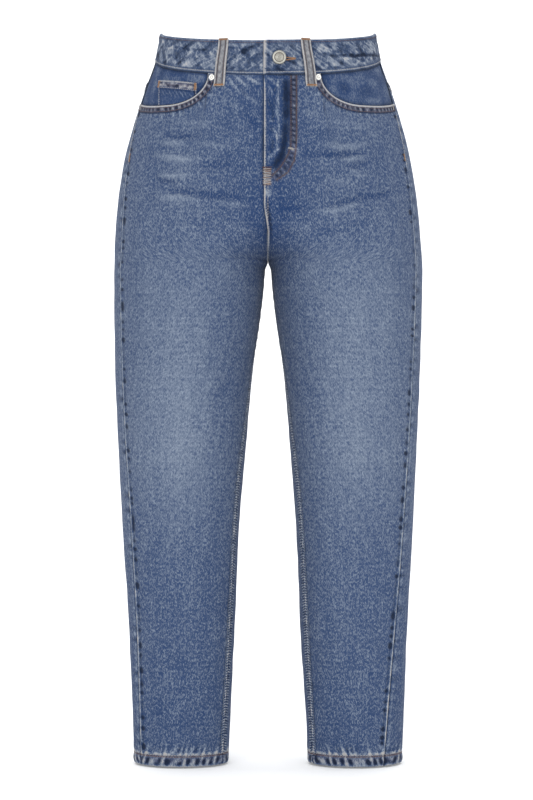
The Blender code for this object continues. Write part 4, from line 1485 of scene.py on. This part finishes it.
@dataclass
class CoinPocket:
    """The small patch pocket on the wearer's right facing."""

    inner_x: float = 90.2 * MM
    outer_x: float = 139.9 * MM
    inner_top: float = -56.3 * MM
    outer_top: float = -47.6 * MM
    hem: float = 11.0
    columns: int = 36
    row_count: int = 30

    def patch(self) -> Patch:
        """Return the coin pocket with its hem, puckers and pale edges, and painted shade below the hem and
        inside the edges.
        """
        mouth = pocket_curve(Side.RIGHT)
        mouth_x = FORM.point(mouth[:, 0], mouth[:, 1])[:, 0]
        across = shares(self.columns)
        x = mix(self.inner_x, self.outer_x, across)
        high = mix(self.inner_top, self.outer_top, across)
        low = np.interp(x, mouth_x, mouth[:, 1]) + 3.0 * SEAM_GAP
        z = mix(high[None], low[None], shares(self.row_count)[:, None])
        angle = FORM.angle_at(np.broadcast_to(x, z.shape), z)
        out = FACING_OUT + LAY_GAP + COIN_WALL
        made = on_form("jeans_coin_pocket", Side.RIGHT, angle, z, COIN_WALL, Way.FRONT, out)
        side, below_hem = made.sides, made.top - self.hem * MM
        puckers = wave(made.u + below_hem * 0.7, 6.0, 1.5 * Ripple(150, 20.0)(made.u, 0.0))
        puckers = puckers * bump(below_hem, 5.0, 7.0)
        blotch = Ripple(152, 9.0, 1.0, 8)(made.u, made.top)
        made.out += (0.22 * puckers + 0.3 * near(below_hem, 0.0, 1.5) + 0.2 * near(side, 2.0, 4.5)) * MM
        made.wear += 0.35 * puckers + 1.0 * near(made.top, 0.7, 1.6) + 0.55 * near(side, 0.5, 1.5)
        # Painted shade below the hem's step and in the groove inside the raised sides.
        made.wear -= 0.5 * bump(below_hem, 0.8, 1.4) + 0.35 * bump(side, 3.2, 1.6)
        # Painted shade along the left edge.
        made.wear -= 0.7 * bump(made.left, 3.0, 2.4)
        made.wear += 1.5 * blotch * bump(made.top, 5.5, 4.8)
        made.rust += 0.45 * bump(made.top, 5.5, 6.0)
        made.fade += 0.05 * bump(made.top, 5.5, 6.0) - 0.045
        return made


@dataclass
class BackPocket:
    """A back patch pocket with a shallow point."""

    side: Side
    inner_x: float = 40.0 * MM
    wide: float = 140.0 * MM
    foot: float = 122.0 * MM
    top_z: float = -122.0 * MM
    slope: float = 10.0 * MM
    side_z: float = -240.0 * MM
    point: float = 20.0 * MM
    gap: float = 0.7 * MM
    columns: int = 64
    row_count: int = 60

    def patch(self) -> Patch:
        """Return the pocket with its hem, its worn edges, a soft hollow and painted shade in the grooves
        beside its stitching.
        """
        across, share = shares(self.columns)[None], shares(self.row_count)[:, None]
        foot = self.side_z - self.point * (1.0 - np.abs(2.0 * across - 1.0))
        z = mix(self.top_z + self.slope * across, foot, share)
        wide = mix(self.wide, self.foot, share)
        start = FORM.angle_at(self.inner_x, z, Way.BACK)
        angle = FORM.walk(start, z, -(self.wide - wide) / 2.0 - wide * across)
        name = f"jeans_back_pocket_{self.side.word}"
        made = on_form(name, self.side, angle, z, DENIM_WALL, Way.BACK, self.gap + DENIM_WALL)
        edge = np.minimum(made.sides, made.foot)
        rim = np.minimum(edge, made.top)
        soft = Ripple(160 + self.side, 50.0)(made.u, made.v)
        arc = np.where(made.left < made.right, made.v, made.v + 5.0 * MM)
        puckers = 0.14 * wave(arc, 9.0, made.u * 400.0) * bump(edge, 10.0, 8.0)
        made.out += ((0.5 * soft + 0.25) * past(rim, 4.0, 25.0) + puckers) * MM
        made.fade += 0.05 * bump(made.foot, 60.0, 60.0) + 0.015 * soft
        made.wear += 0.75 * near(rim, 0.8, 2.0) + puckers
        # Painted shade in the grooves beside the stitching rows.
        made.wear -= 0.35 * (bump(edge, 9.0, 2.0) + bump(made.top, 18.0, 2.0))
        return made


def ring_patch(name: str, turn: Array, z: Array, seat: Array, wall: float) -> Patch:
    """Return a sheet that lies round the waist.

    Args:
        name: the node that it stands for.
        turn: the places' turns, in degrees.
        z: the places' heights.
        seat: how far its outer skin stands out before its relief.
        wall: the cloth's thickness.

    Returns:
        The sheet.
    """
    return Patch(f"jeans_{name}", lambda relief: FORM.ring(turn, z, seat + relief), z.shape, wall, False)


@dataclass
class Waistband:
    """The waistband: one mottled, crinkled band, lapped at the front."""

    front_steps: int = 84
    back_steps: int = 260
    row_count: int = 22
    lift_to: float = -75.0
    lift_fade: float = 13.0
    creases: tuple[Crease, ...] = (
        Crease(76.0, -21.0, 150.0, -11.0, 3.2, -1.0, -1.30),
        Crease(72.0, -26.0, 138.0, -16.0, 2.4, 0.5, 0.45),
        Crease(-112.0, -10.0, -64.0, -14.0, 2.2, -0.6, -0.45),
        Crease(-136.0, -2.0, -104.0, -12.0, 2.0, 0.5, 0.35),
        Crease(-50.0, -12.0, -12.0, -17.0, 2.2, -0.6, -0.40),
        Crease(56.0, -8.0, 92.0, -14.0, 2.2, 0.5, 0.35),
        Crease(-40.0, -30.0, -8.0, -25.0, 2.4, -0.5, -0.35),
        Crease(100.0, 2.0, 132.0, 6.0, 2.4, -0.5, -0.40),
    )

    def out(self, turn: Array) -> Array:
        """Return how far the band stands out, more where it laps over its other end."""
        return BAND_PROUD + BAND_LIFT * (1.0 - ease(self.lift_to, self.lift_to + self.lift_fade, turn))

    def patch(self) -> Patch:
        """Return the band with its relief."""
        waist = float(FORM.section(np.array(-1.0), np.array(0.0))[1])
        start = -90.0 + math.degrees(math.asin(LAP_X / waist))
        end = 270.0 + math.degrees(math.asin(UNDERLAP_X / waist))
        turns = np.concatenate([
            np.linspace(start, 0.0, self.front_steps, endpoint=False),
            np.linspace(0.0, 180.0, self.back_steps, endpoint=False),
            np.linspace(180.0, end, self.front_steps + 20),
        ])
        lean = np.radians(turns)
        z = mix(FORM.rim(lean)[None], FORM.waist_seam(lean)[None], shares(self.row_count)[:, None])
        turn = np.broadcast_to(turns, z.shape)
        seat = self.out(turn)
        made = ring_patch("waistband", turn, z, seat, BAND_WALL)
        made.v = -made.top
        self.crinkle(made)
        press(made, self.creases, 0.03, only=made.y < 0.0)
        return made

    def crinkle(self, made: Patch) -> None:
        """Add V-shaped crinkles, a rolled top edge and worn edges, with painted shade in the crinkles'
        hollows, under the rolled edge and along the foot.
        """
        u, v, top, foot, left = made.u, made.v, made.top, made.foot, made.left
        fold = Ripple(171, 9.0, 0.8)(u + np.abs(v + 17.0 * MM) * 0.9, v * 0.35)
        second = Ripple(172, 14.0, 0.9)(u - np.abs(v + 15.0 * MM) * 1.1, v * 0.3)
        wide = Ripple(173, 40.0)(u, v)
        ridge = np.clip(1.0 - np.abs(fold) * 1.9, 0.0, 1.0) ** 1.5
        hollow = np.clip(second * 1.25 - 0.35, 0.0, 1.0)
        inside = past(made.ends, 2.0, 6.0)
        made.out += (0.38 * ridge - 0.45 * hollow + 0.25 * wide) * MM * inside
        made.out += (0.35 * bump(top, 4.5, 4.0) - 0.3 * bump(top, 2.9, 1.1)) * MM
        made.out -= 0.45 * MM * near(made.ends, 0.0, 1.6)
        # Crinkle ridges are rubbed pale; their hollows get painted shade.
        made.wear += (0.55 * ridge - 0.72 * hollow + 0.10 * wide) * mix(0.30, 1.0, inside)
        # Painted shade in the groove under the rolled top edge and along the foot of the band.
        made.wear += 0.25 * near(top, 0.5, 1.7) - 0.40 * bump(top, 3.0, 1.3) - 0.70 * near(foot, 0.3, 1.0)
        made.wear += 0.55 * bump(foot, 2.4, 1.6) - 0.45 * bump(foot, 4.6, 1.5)
        made.wear += 1.2 * near(left, 1.6, 3.4) - 0.35 * bump(left, 5.2, 2.0)
        made.crimp += past(top, 3.0, 7.0) * past(foot, 3.5, 6.0)
        made.fade += 0.02 * wide


@dataclass
class BeltLoop:
    """A belt loop, sewn at the rim and below the band and clear of it between."""

    name: str
    rim: float
    foot: float
    wide: float = 12.0 * MM
    gap: float = 0.5 * MM
    above: float = 1.5 * MM
    below: float = 16.0 * MM
    bulge: float = 2.6 * MM
    columns: int = 12
    row_count: int = 44

    def patch(self, band: Waistband) -> Patch:
        """Return the loop with folded pale edges, painted shade in the grooves inside them and a worn middle.
        """
        share = shares(self.row_count)[:, None]
        middle = mix(self.rim, self.foot, share)
        lean = np.radians(middle)
        z = mix(FORM.rim(lean) + self.above, FORM.waist_seam(lean) - self.below, share)
        arch = self.bulge * np.sin(np.pi * np.clip((share - 0.08) / 0.78, 0.0, 1.0)) ** 2
        half = np.degrees(FORM.walk(lean, lean * 0.0, self.wide / 2.0) - lean)
        turn = middle + half * np.linspace(-1.0, 1.0, self.columns + 1)[None]
        seat = mix(band.out(turn), 0.0, ease(0.74, 0.90, share)) + self.gap + arch + LOOP_WALL
        made = ring_patch(self.name, turn, np.broadcast_to(z, turn.shape), seat, LOOP_WALL)
        edge = made.sides
        worn = Ripple(int(180 + abs(self.rim)), 7.0)(made.u, made.top)
        made.out += 0.3 * MM * (bump(edge, 1.2, 1.5) - bump(edge, 2.9, 1.1))
        made.out += 0.14 * MM * worn * past(edge, 2.0, 4.0)
        # Pale folded edges, with painted shade in the groove just inside each.
        made.wear += 0.95 * near(edge, 0.9, 2.0) - 0.7 * bump(edge, 2.9, 1.2)
        made.wear += 0.5 * near(made.ends, 0.5, 2.0)
        made.wear += (0.22 + 0.22 * worn) * past(edge, 3.4, 5.0)
        return made


def drape(patch: Patch, line: Array, places: int = 4) -> tuple[Array, Array]:
    """Lay a line on a sheet's outer skin.

    Args:
        patch: the sheet.
        line: points near the sheet.
        places: how many of the sheet's places are averaged.

    Returns:
        The points and the normals.
    """
    base = patch.base.reshape(-1, 3)
    raised = (patch.skin() - patch.base).reshape(-1, 3)
    normals = patch.normals.reshape(-1, 3)
    points, ways = [], []
    for spot in line:
        gap = np.linalg.norm(base - spot, axis=1)
        pick = np.argpartition(gap, places)[:places]
        weight = 1.0 / (gap[pick] + 0.3 * MM)
        weight /= weight.sum()
        way = (normals[pick] * weight[:, None]).sum(axis=0)
        way /= np.linalg.norm(way)
        level = ((base[pick] - spot) @ way * weight).sum()
        points.append(spot + way * level + (raised[pick] * weight[:, None]).sum(axis=0))
        ways.append(way)
    return np.array(points), np.array(ways)


class Row(NamedTuple):
    """A row of stitches along an edge of a piece, with its lowest and highest place, all in mm."""

    piece: str
    edge: str
    distance: float
    thread: Finish = Finish.RUST
    pitch: float = 3.3
    radius: float = 0.38
    low: float = -9000.0
    high: float = 9000.0


# The rows of one half in the order in which they are sewn
HALF_ROWS = (
    Row("front", "right", 1.7, Finish.THREAD, low=-155.0, high=-88.0),
    Row("front", "left", 4.4, Finish.RIB, radius=0.34, low=-905.0, high=-300.0),
    Row("front", "foot", 14.2, Finish.THREAD, 3.6),
    Row("front", "foot", 12.4, pitch=3.6),
    Row("back", "foot", 14.2, Finish.THREAD, 3.6),
    Row("back", "foot", 12.4, pitch=3.6),
    Row("yoke", "foot", 1.9),
    Row("yoke", "foot", 7.6),
    *(Row("back_pocket", edge, distance) for edge in ("left", "right", "foot") for distance in (2.0, 8.0)),
    Row("back_pocket", "top", 2.0),
    Row("back_pocket", "top", 16.0),
)
CENTRE_BACK_ROWS = (
    Row("back_left", "left", 1.9, low=-268.0, high=-90.0),
    Row("yoke_left", "left", 1.9),
    Row("back_left", "left", 7.6, low=-268.0, high=-90.0),
    Row("yoke_left", "left", 7.6),
)
BAND_ROWS = (
    Row("waistband", "top", 2.8, radius=0.30),
    Row("waistband", "foot", 2.4, Finish.THREAD, radius=0.36),
    Row("waistband", "left", 2.2, Finish.THREAD, radius=0.34),
)
COIN_ROWS = (
    Row("coin_pocket", "top", 1.5, Finish.THREAD, 2.9, 0.32),
    Row("coin_pocket", "top", 9.6, Finish.THREAD, 2.9, 0.32),
    Row("coin_pocket", "left", 1.6, Finish.THREAD, 2.9, 0.30),
    Row("coin_pocket", "right", 1.6, Finish.THREAD, 2.9, 0.30),
)


class Sewing:
    """Gathers stitches by thread and makes one joined mesh of each thread."""

    share = 0.78
    tack_radius = 0.42 * MM
    sides = 6
    rings = ((-0.5, 0.3), (-0.34, 1.0), (0.34, 1.0), (0.5, 0.3))

    def __init__(self) -> None:
        """Start with no stitches."""
        self.made: dict[Finish, list[tuple[Array, Array, Array, Array, float]]] = {}
        self.rng = np.random.default_rng(SEED + 900)

    def add(self, thread: Finish, spots: Array, ways: Array, ups: Array, length: Any, radius: float) -> None:
        """Add stitches.

        Args:
            thread: the thread's finish.
            spots: the middles.
            ways: the directions along the stitches.
            ups: the directions out of the cloth.
            length: the stitches' length, as one number or one for each.
            radius: the thread's radius.
        """
        lengths = np.broadcast_to(np.asarray(length, float), (len(spots),))
        self.made.setdefault(thread, []).append((spots, ways, ups, lengths, radius))

    def row(
        self, thread: Finish, line: Array, ups: Array, pitch: float = 3.3 * MM, radius: float = 0.38 * MM
    ) -> None:
        """Sew a row of stitches along a line.

        Args:
            thread: the thread's finish.
            line: the line's points, on the cloth.
            ups: the directions out of the cloth at the points.
            pitch: the distance from stitch to stitch.
            radius: the thread's radius.
        """
        arcs = np.concatenate([[0.0], np.cumsum(np.linalg.norm(np.diff(line, axis=0), axis=1))])
        count = int(arcs[-1] / pitch)
        if count < 1:
            return
        middle = (np.arange(count) + 0.5 + self.rng.uniform(-0.06, 0.06, count)) * arcs[-1] / count
        half = pitch * self.share / 2.0

        def at(where: Array, values: Array) -> Array:
            """Return values at lengths along the line."""
            return np.stack([np.interp(where, arcs, values[:, k]) for k in range(3)], axis=-1)

        ways = at(np.minimum(middle + half, arcs[-1]), line) - at(np.maximum(middle - half, 0.0), line)
        ways += self.rng.normal(0.0, 0.04, ways.shape) * np.linalg.norm(ways, axis=1, keepdims=True)
        length = pitch * self.share * self.rng.uniform(0.92, 1.06, count)
        up = at(middle, ups)
        self.add(thread, at(middle, line) + up * radius * 0.35, ways, up, length, radius)

    def edges(self, cloth: dict[str, Patch], rows: Sequence[Row], word: str = "") -> None:
        """Sew rows along the edges of pieces, whose names end with word."""
        for row in rows:
            line, ups = cloth[row.piece + word].line(row.edge, row.distance * MM, row.low * MM, row.high * MM)
            if len(line) > 1:
                self.row(row.thread, line, ups, row.pitch * MM, row.radius * MM)

    def tack(
        self, patch: Patch, start: Array, end: Array, wide: float, step: float = 0.75,
        thread: Finish = Finish.TACK,
    ) -> None:
        """Sew a bar tack: close crosswise stitches from start to end.

        Args:
            patch: the cloth below.
            start: one end of the tack.
            end: the other end.
            wide: the length of the crosswise stitches, in mm.
            step: their spacing, in mm.
            thread: the thread's finish.
        """
        count = max(2, int(np.linalg.norm(end - start) / (step * MM)))
        spots, ups = drape(patch, start + (end - start) * shares(count - 1)[:, None])
        ways = np.cross(ups, end - start) + (end - start) * 0.12
        ways[::2] = -np.cross(ups, end - start)[::2]
        lift = ups * 0.25 * MM + self.rng.normal(0.0, 0.08 * MM, spots.shape)
        length = wide * MM * self.rng.uniform(0.9, 1.08, count)
        self.add(thread, spots + lift, ways, ups, length, self.tack_radius)

    def drop(self, patch: Patch, spot: Array, down: float, wide: float, thread: Finish = Finish.TACK) -> None:
        """Sew a bar tack straight down from a spot, its length and width in mm."""
        self.tack(patch, spot, spot - np.array([0.0, 0.0, down * MM]), wide, thread=thread)

    def build(self, wardrobe: Wardrobe) -> list[bpy.types.Object]:
        """Return the threads' objects."""
        around = np.arange(self.sides) / self.sides * 2.0 * np.pi
        circle = [(math.cos(turn), math.sin(turn)) for turn in around]
        template = np.array([(x, radius * y, radius * z) for x, radius in self.rings for y, z in circle])
        index = np.arange(len(template)).reshape(-1, self.sides)
        after = np.roll(index, -1, axis=1)
        faces = np.stack([index[:-1], after[:-1], after[1:], index[1:]], axis=-1).reshape(-1, 4)
        last = index[-1]
        caps = [(3, 2, 1, 0), (0, 5, 4, 3), last[:4], (last[3], last[4], last[5], last[0])]
        faces = np.concatenate([faces, np.array(caps)])
        objects = []
        for thread, groups in self.made.items():
            points, places = [], []
            for spots, ways, ups, lengths, radius in groups:
                ways = ways / np.linalg.norm(ways, axis=1, keepdims=True)
                across = np.cross(ups, ways)
                across /= np.linalg.norm(across, axis=1, keepdims=True)
                rise = np.cross(ways, across)
                frame_of = (ways * lengths[:, None], across * radius, rise * radius)
                points.append(spots[:, None] + sum(
                    axis[:, None] * template[None, :, k:k + 1] for k, axis in enumerate(frame_of)
                ))
                seeds = self.rng.uniform(0.0, 1.0, len(spots))[:, None]
                along = template[None, :, 0] * lengths[:, None]
                turn = np.broadcast_to(np.tile(around, len(self.rings))[None], along.shape)
                places.append(np.stack([along + seeds, turn, along * 0.0 + seeds], axis=-1))
            points, places = np.concatenate(points), np.concatenate(places)
            count, size = points.shape[0], len(template)
            every = (faces[None] + np.arange(count)[:, None, None] * size).reshape(-1, 4)
            name = f"jeans_{thread.value.name}"
            piece = make_object(name, points.reshape(-1, 3), every, places.reshape(-1, 3), {})
            objects.append(wardrobe.dress(piece, thread))
            LOG.info("%s: %d stitches", name, count)
        return objects


@dataclass
class Turned:
    """A round metal piece, turned from rings of radius, height and tarnish, in mm."""

    name: str
    profile: tuple[tuple[float, float, float], ...]
    steps: int = 72

    def build(self, base: Array, up: Array, finish: Finish, wardrobe: Wardrobe) -> bpy.types.Object:
        """Return the piece, standing on base."""
        side = np.cross(up, (0.0, 0.0, 1.0))
        side /= np.linalg.norm(side)
        turn = np.arange(self.steps) / self.steps * 2.0 * np.pi
        rows = np.array(self.profile)[:, None] * np.ones((1, self.steps, 1))
        radius = rows[..., 0] * MM
        place = np.stack([radius * np.cos(turn), radius * np.sin(turn), rows[..., 1] * MM], axis=-1)
        points = base + place @ np.stack([side, np.cross(side, up), up])
        index = np.arange(radius.size).reshape(-1, self.steps)
        after = np.roll(index, -1, axis=1)
        faces = np.stack([index[:-1], index[1:], after[1:], after[:-1]], axis=-1).reshape(-1, 4)
        tarnish = {"wear": rows[..., 2].ravel()}
        piece = make_object(f"jeans_{self.name}", points.reshape(-1, 3), faces, place.reshape(-1, 3), tarnish)
        return wardrobe.dress(piece, finish, self.name)


BUTTON = Turned("button", (
    (0.03, 3.55, 0.10), (0.7, 3.55, 0.10), (1.0, 3.50, 0.9), (1.2, 3.30, 1.0), (1.5, 3.32, 0.9),
    (1.8, 3.52, 0.1), (2.3, 3.55, 0.05), (2.6, 3.40, 0.8), (2.8, 3.30, 1.0), (3.1, 3.36, 0.5),
    (3.4, 3.52, 0.1), (3.8, 3.50, 0.2), (4.05, 3.32, 0.9), (4.3, 3.30, 0.9), (4.6, 3.46, 0.2),
    (4.95, 3.44, 0.2), (5.3, 3.22, 1.0), (5.7, 3.24, 1.0), (6.0, 3.62, 0.5), (6.4, 3.86, 0.40),
    (7.0, 3.94, 0.3), (7.6, 3.92, 0.3), (8.2, 3.72, 0.4), (8.6, 3.42, 0.5), (8.85, 3.05, 0.6),
    (8.85, 2.65, 0.9), (8.5, 2.25, 1.0), (6.0, 2.05, 1.0), (3.4, 1.85, 1.0), (3.2, 1.6, 1.0),
    (3.2, 0.0, 1.0),
))
RIVET_PROFILE = (
    (0.03, 0.95, 0.4), (0.5, 1.0, 0.3), (0.9, 1.0, 0.2), (1.2, 0.88, 0.6), (1.5, 0.76, 0.7),
    (1.8, 0.78, 0.5), (2.1, 0.95, 0.1), (2.5, 1.16, 0.0), (3.0, 1.20, 0.0), (3.4, 1.06, 0.0),
    (3.75, 0.70, 0.3), (3.9, 0.35, 0.7), (3.9, 0.0, 1.0),
)


@dataclass
class Jeans:
    """The whole garment."""

    button_x: float = 13.7 * MM
    button_z: float = -27.3 * MM
    rivets: tuple[tuple[str, float], ...] = (("rivet_left", 63.0 * MM), ("rivet_right", -70.6 * MM))
    rivet_z: float = -50.0 * MM
    mouth_rows: tuple[float, float] = (2.7 * MM, 7.7 * MM)
    mouth_rows_below: float = -53.0 * MM
    slot_stitches: int = 16
    loops: tuple[BeltLoop, ...] = (
        BeltLoop("belt_loop_front_left", -71.0, -70.2),
        BeltLoop("belt_loop_side_left", 36.0, 36.0),
        BeltLoop("belt_loop_back", 90.0, 90.0),
        BeltLoop("belt_loop_side_right", 144.0, 144.0),
        BeltLoop("belt_loop_front_right", 247.0, 247.6),
    )
    pieces: list[bpy.types.Object] = field(default_factory=list)

    def build(self, wardrobe: Wardrobe) -> None:
        """Build and dress every piece, then sew and rivet them."""
        self.wardrobe, self.sewing = wardrobe, Sewing()
        self.patches: dict[str, Patch] = {}
        for side in Side:
            self.place(FrontPanel(side, folds=FOLDS[side]).patch(), Finish.DENIM, "waistband")
            self.place(BackPanel(side).patch(), Finish.DENIM, f"yoke_{side.word}")
            self.place(Yoke(side).patch(), Finish.DENIM, "waistband")
            self.place(Facing(side).patch(), Finish.FACING, f"front_{side.word}")
            self.place(BackPocket(side).patch(), Finish.DENIM, f"back_{side.word}")
        self.place(CoinPocket().patch(), Finish.FACING, "pocket_facing_right")
        band = Waistband()
        self.place(band.patch(), Finish.BAND, "")
        for loop in self.loops:
            self.place(loop.patch(band), Finish.LOOP, "waistband")
        self.sew()
        self.metal()
        self.pieces += self.sewing.build(wardrobe)

    def place(self, patch: Patch, finish: Finish, rests_on: str) -> None:
        """Make and dress a sheet of cloth, and keep it.

        Args:
            patch: the sheet.
            finish: its finish.
            rests_on: the node that it is sewn to, or nothing for the band. Not used.
        """
        node = patch.name.removeprefix("jeans_")
        piece = self.wardrobe.dress(patch.mesh(), finish, node)
        self.patches[node] = patch
        self.pieces.append(piece)

    def sew(self) -> None:
        """Sew every visible row and bar tack."""
        sewing, cloth = self.sewing, self.patches
        for side in Side:
            front, pocket = cloth[f"front_{side.word}"], cloth[f"back_pocket_{side.word}"]
            mouth, up = pocket_mouth(side)
            self.around(front, mouth, up * side)
            sewing.edges(cloth, HALF_ROWS, f"_{side.word}")
            for column in (4, -5):
                sewing.drop(pocket, pocket.base[3, column], 8.0, 2.0)
            end, _ = front.line("right", 3.5 * MM, -0.150, -0.139)
            sewing.tack(front, end[0], end[-1], 2.4)
            sewing.drop(front, mouth[-3] - np.array([0.0, 0.5, 1.0]) * MM, 6.0, 2.4, Finish.THREAD)
        sewing.edges(cloth, CENTRE_BACK_ROWS)
        self.sew_front()
        sewing.edges(cloth, BAND_ROWS)
        for loop in self.loops:
            strip = cloth[loop.name]
            rows = [Row(loop.name, edge, 2.8, pitch=2.8, radius=0.30) for edge in ("left", "right")]
            sewing.edges(cloth, rows)
            for row in (1, -2):
                sewing.tack(strip, strip.base[row, 1], strip.base[row, -2], 2.6)
        sewing.edges(cloth, COIN_ROWS)
        coin = cloth["coin_pocket"]
        for column in (1, -2):
            sewing.drop(coin, coin.base[1, column], 8.5, 3.6)

    def around(self, front: Patch, mouth: Array, up: Array) -> None:
        """Sew the rows that follow a pocket mouth."""
        away = np.cross(np.gradient(mouth, axis=0), up)
        away /= np.linalg.norm(away, axis=1, keepdims=True)
        for distance in self.mouth_rows:
            points, ups = drape(front, mouth + away * distance)
            keep = points[:, 2] < self.mouth_rows_below
            self.sewing.row(Finish.RUST, points[keep], ups[keep], 3.0 * MM, 0.36 * MM)

    def sew_front(self) -> None:
        """Sew the fly, the rise and the buttonhole."""
        sewing, front, band = self.sewing, self.patches["front_left"], self.patches["waistband"]
        for line in (INNER_J, OUTER_J):
            sewing.row(Finish.RUST, *drape(front, front_line(line)), 2.9 * MM, 0.40 * MM)
        lap = Row("front_left", "left", 1.6, Finish.THREAD, radius=0.34, low=-250.0, high=-62.0)
        sewing.edges(self.patches, (lap,))
        rise = front_line(((-0.2, -185.0), (-0.2, -246.0)))
        sewing.row(Finish.THREAD, *drape(front, rise), radius=0.34 * MM)
        for thread, x, high, low, wide, step in (
            (Finish.RUST, -1.2, -164.8, -167.4, 12.6, 0.8),
            (Finish.THREAD, -1.2, -167.0, -186.0, 11.0, 1.3),
            (Finish.RUST, -1.4, -168.5, -187.0, 11.8, 3.4),
            (Finish.TACK, -0.4, -170.0, -185.0, 8.4, 4.6),
        ):
            place = front_line(((x, high), (x, low)), 1.0 * MM)
            sewing.tack(front, place[0], place[-1], wide, step, thread)
        short = front_line(((26.0, -140.0), (32.0, -142.0)))
        sewing.tack(front, short[0], short[-1], 3.0, thread=Finish.THREAD)
        for height in (-25.9, -29.3):
            end = -27.4 + (height + 27.6) * 0.2
            slot_line = front_line(((22.0, height), (34.5, end))) - np.array([0.0, 6.0 * MM, 0.0])
            points, ups = drape(band, slot_line)
            fine, every = np.linspace(0, len(points) - 1, self.slot_stitches), np.arange(len(points))
            pick = np.stack([np.interp(fine, every, points[:, k]) for k in range(3)], axis=-1)
            up = np.repeat(ups[:1], self.slot_stitches, axis=0)
            ways = np.tile((0.5, 0.0, 1.0), (self.slot_stitches, 1))
            sewing.add(Finish.TACK, pick + up * 0.25 * MM, ways, up, 1.8 * MM, 0.40 * MM)

    def metal(self) -> None:
        """Set the button and the rivets."""
        lift = BAND_PROUD + BAND_LIFT + LAY_GAP
        base, up = self.seat(self.button_x, self.button_z, lift)
        self.pieces.append(BUTTON.build(base, up, Finish.SILVER, self.wardrobe))
        for name, x in self.rivets:
            base, up = self.seat(x, self.rivet_z, LAY_GAP + 0.5 * MM)
            self.pieces.append(Turned(name, RIVET_PROFILE, 40).build(base, up, Finish.RIVET, self.wardrobe))

    def seat(self, x: float, z: float, lift: float) -> tuple[Array, Array]:
        """Return the place of a metal piece on the front, and the way it faces."""
        angle = FORM.angle_at(np.array(abs(x)), np.array(z))
        return FORM.body(Side.LEFT if x > 0.0 else Side.RIGHT, angle, np.array(z), lift)


@dataclass
class Studio:
    """A pale floor that curves up behind, soft light and the camera."""

    floor_z: float = HEM - 3.0 * MM
    wide: float = 9.0
    front: float = -5.5
    back: float = 2.6
    curve: float = 1.2
    tall: float = 3.2
    white: float = 0.90
    glow: float = 0.17
    sky: tuple[float, float, float, float] = (0.97, 0.985, 1.0, 1.0)
    sky_strength: float = 0.80
    lens: float = 104.17
    film: float = 36.0
    eye: tuple[float, float, float] = (-0.001944, -3.0, -0.456)

    def backdrop(self) -> None:
        """Build the floor and backdrop as one sheet."""
        turn = np.linspace(0.0, np.pi / 2.0, 17)
        y = np.concatenate([[self.front], self.back + self.curve * np.sin(turn), [self.back + self.curve]])
        z = np.concatenate([[0.0], self.curve * (1.0 - np.cos(turn)), [self.tall]]) + self.floor_z
        x = np.array([-self.wide / 2.0, self.wide / 2.0])
        points = np.stack([np.tile(x, len(y)), np.repeat(y, 2), np.repeat(z, 2)], axis=-1)
        index = np.arange(len(points)).reshape(-1, 2)
        faces = np.stack([index[:-1, 0], index[:-1, 1], index[1:, 1], index[1:, 0]], axis=-1)
        piece = make_object("studio_floor", points, faces, points, {})
        make = Maker("studio_white")
        u, v, w = make.split(make.fact("cloth", vector=True))
        grain = make.noise(make.join(u * 3.0, v * 3.0, w), 2.0)
        piece.data.materials.append(make.finish(
            Base_Color=make.blend(grain * 0.1, (self.white,) * 3, (self.white * 0.985,) * 3),
            Roughness=0.9,
            Specular_IOR_Level=0.1,
            Emission_Color=(1.0, 1.0, 1.0, 1.0),
            Emission_Strength=self.glow,
        ))

    def lights(self) -> None:
        """Set the world light and the soft boxes."""
        world = bpy.data.worlds.new("studio")
        bpy.context.scene.world = world
        world.use_nodes = True
        sky = world.node_tree.nodes["Background"].inputs
        sky["Color"].default_value, sky["Strength"].default_value = self.sky, self.sky_strength
        for name, spot, aim, size, watts in (
            ("key", (-1.1, -3.6, 1.3), (0.0, 0.0, -0.45), 2.2, 62.0),
            ("fill", (1.9, -3.2, 0.5), (0.0, 0.0, -0.50), 2.4, 30.0),
            ("wall", (0.0, 0.9, 2.6), (0.0, 3.4, -0.2), 3.0, 70.0),
        ):
            data = bpy.data.lights.new(name, "AREA")
            data.energy, data.size = watts, size
            light = bpy.data.objects.new(name, data)
            bpy.context.scene.collection.objects.link(light)
            light.location = spot
            light.rotation_euler = (Vector(aim) - Vector(spot)).to_track_quat("-Z", "Y").to_euler()

    def camera(self) -> None:
        """Set the camera where the photo was taken from."""
        data = bpy.data.cameras.new("camera")
        data.lens, data.sensor_fit, data.sensor_height = self.lens, "VERTICAL", self.film
        camera = bpy.data.objects.new("camera", data)
        bpy.context.scene.collection.objects.link(camera)
        camera.location = self.eye
        camera.rotation_euler = (math.pi / 2.0, 0.0, 0.0)
        bpy.context.scene.camera = camera


def main() -> None:
    """Build the studio and the jeans."""
    logging.basicConfig(level=logging.INFO, format="%(message)s")
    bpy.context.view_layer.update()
    studio = Studio()
    studio.backdrop()
    studio.lights()
    studio.camera()
    bpy.context.scene.view_settings.view_transform = "Standard"
    jeans = Jeans()
    jeans.build(Wardrobe())
    LOG.info("%d pieces", len(jeans.pieces))


if __name__ == "__main__":
    main()
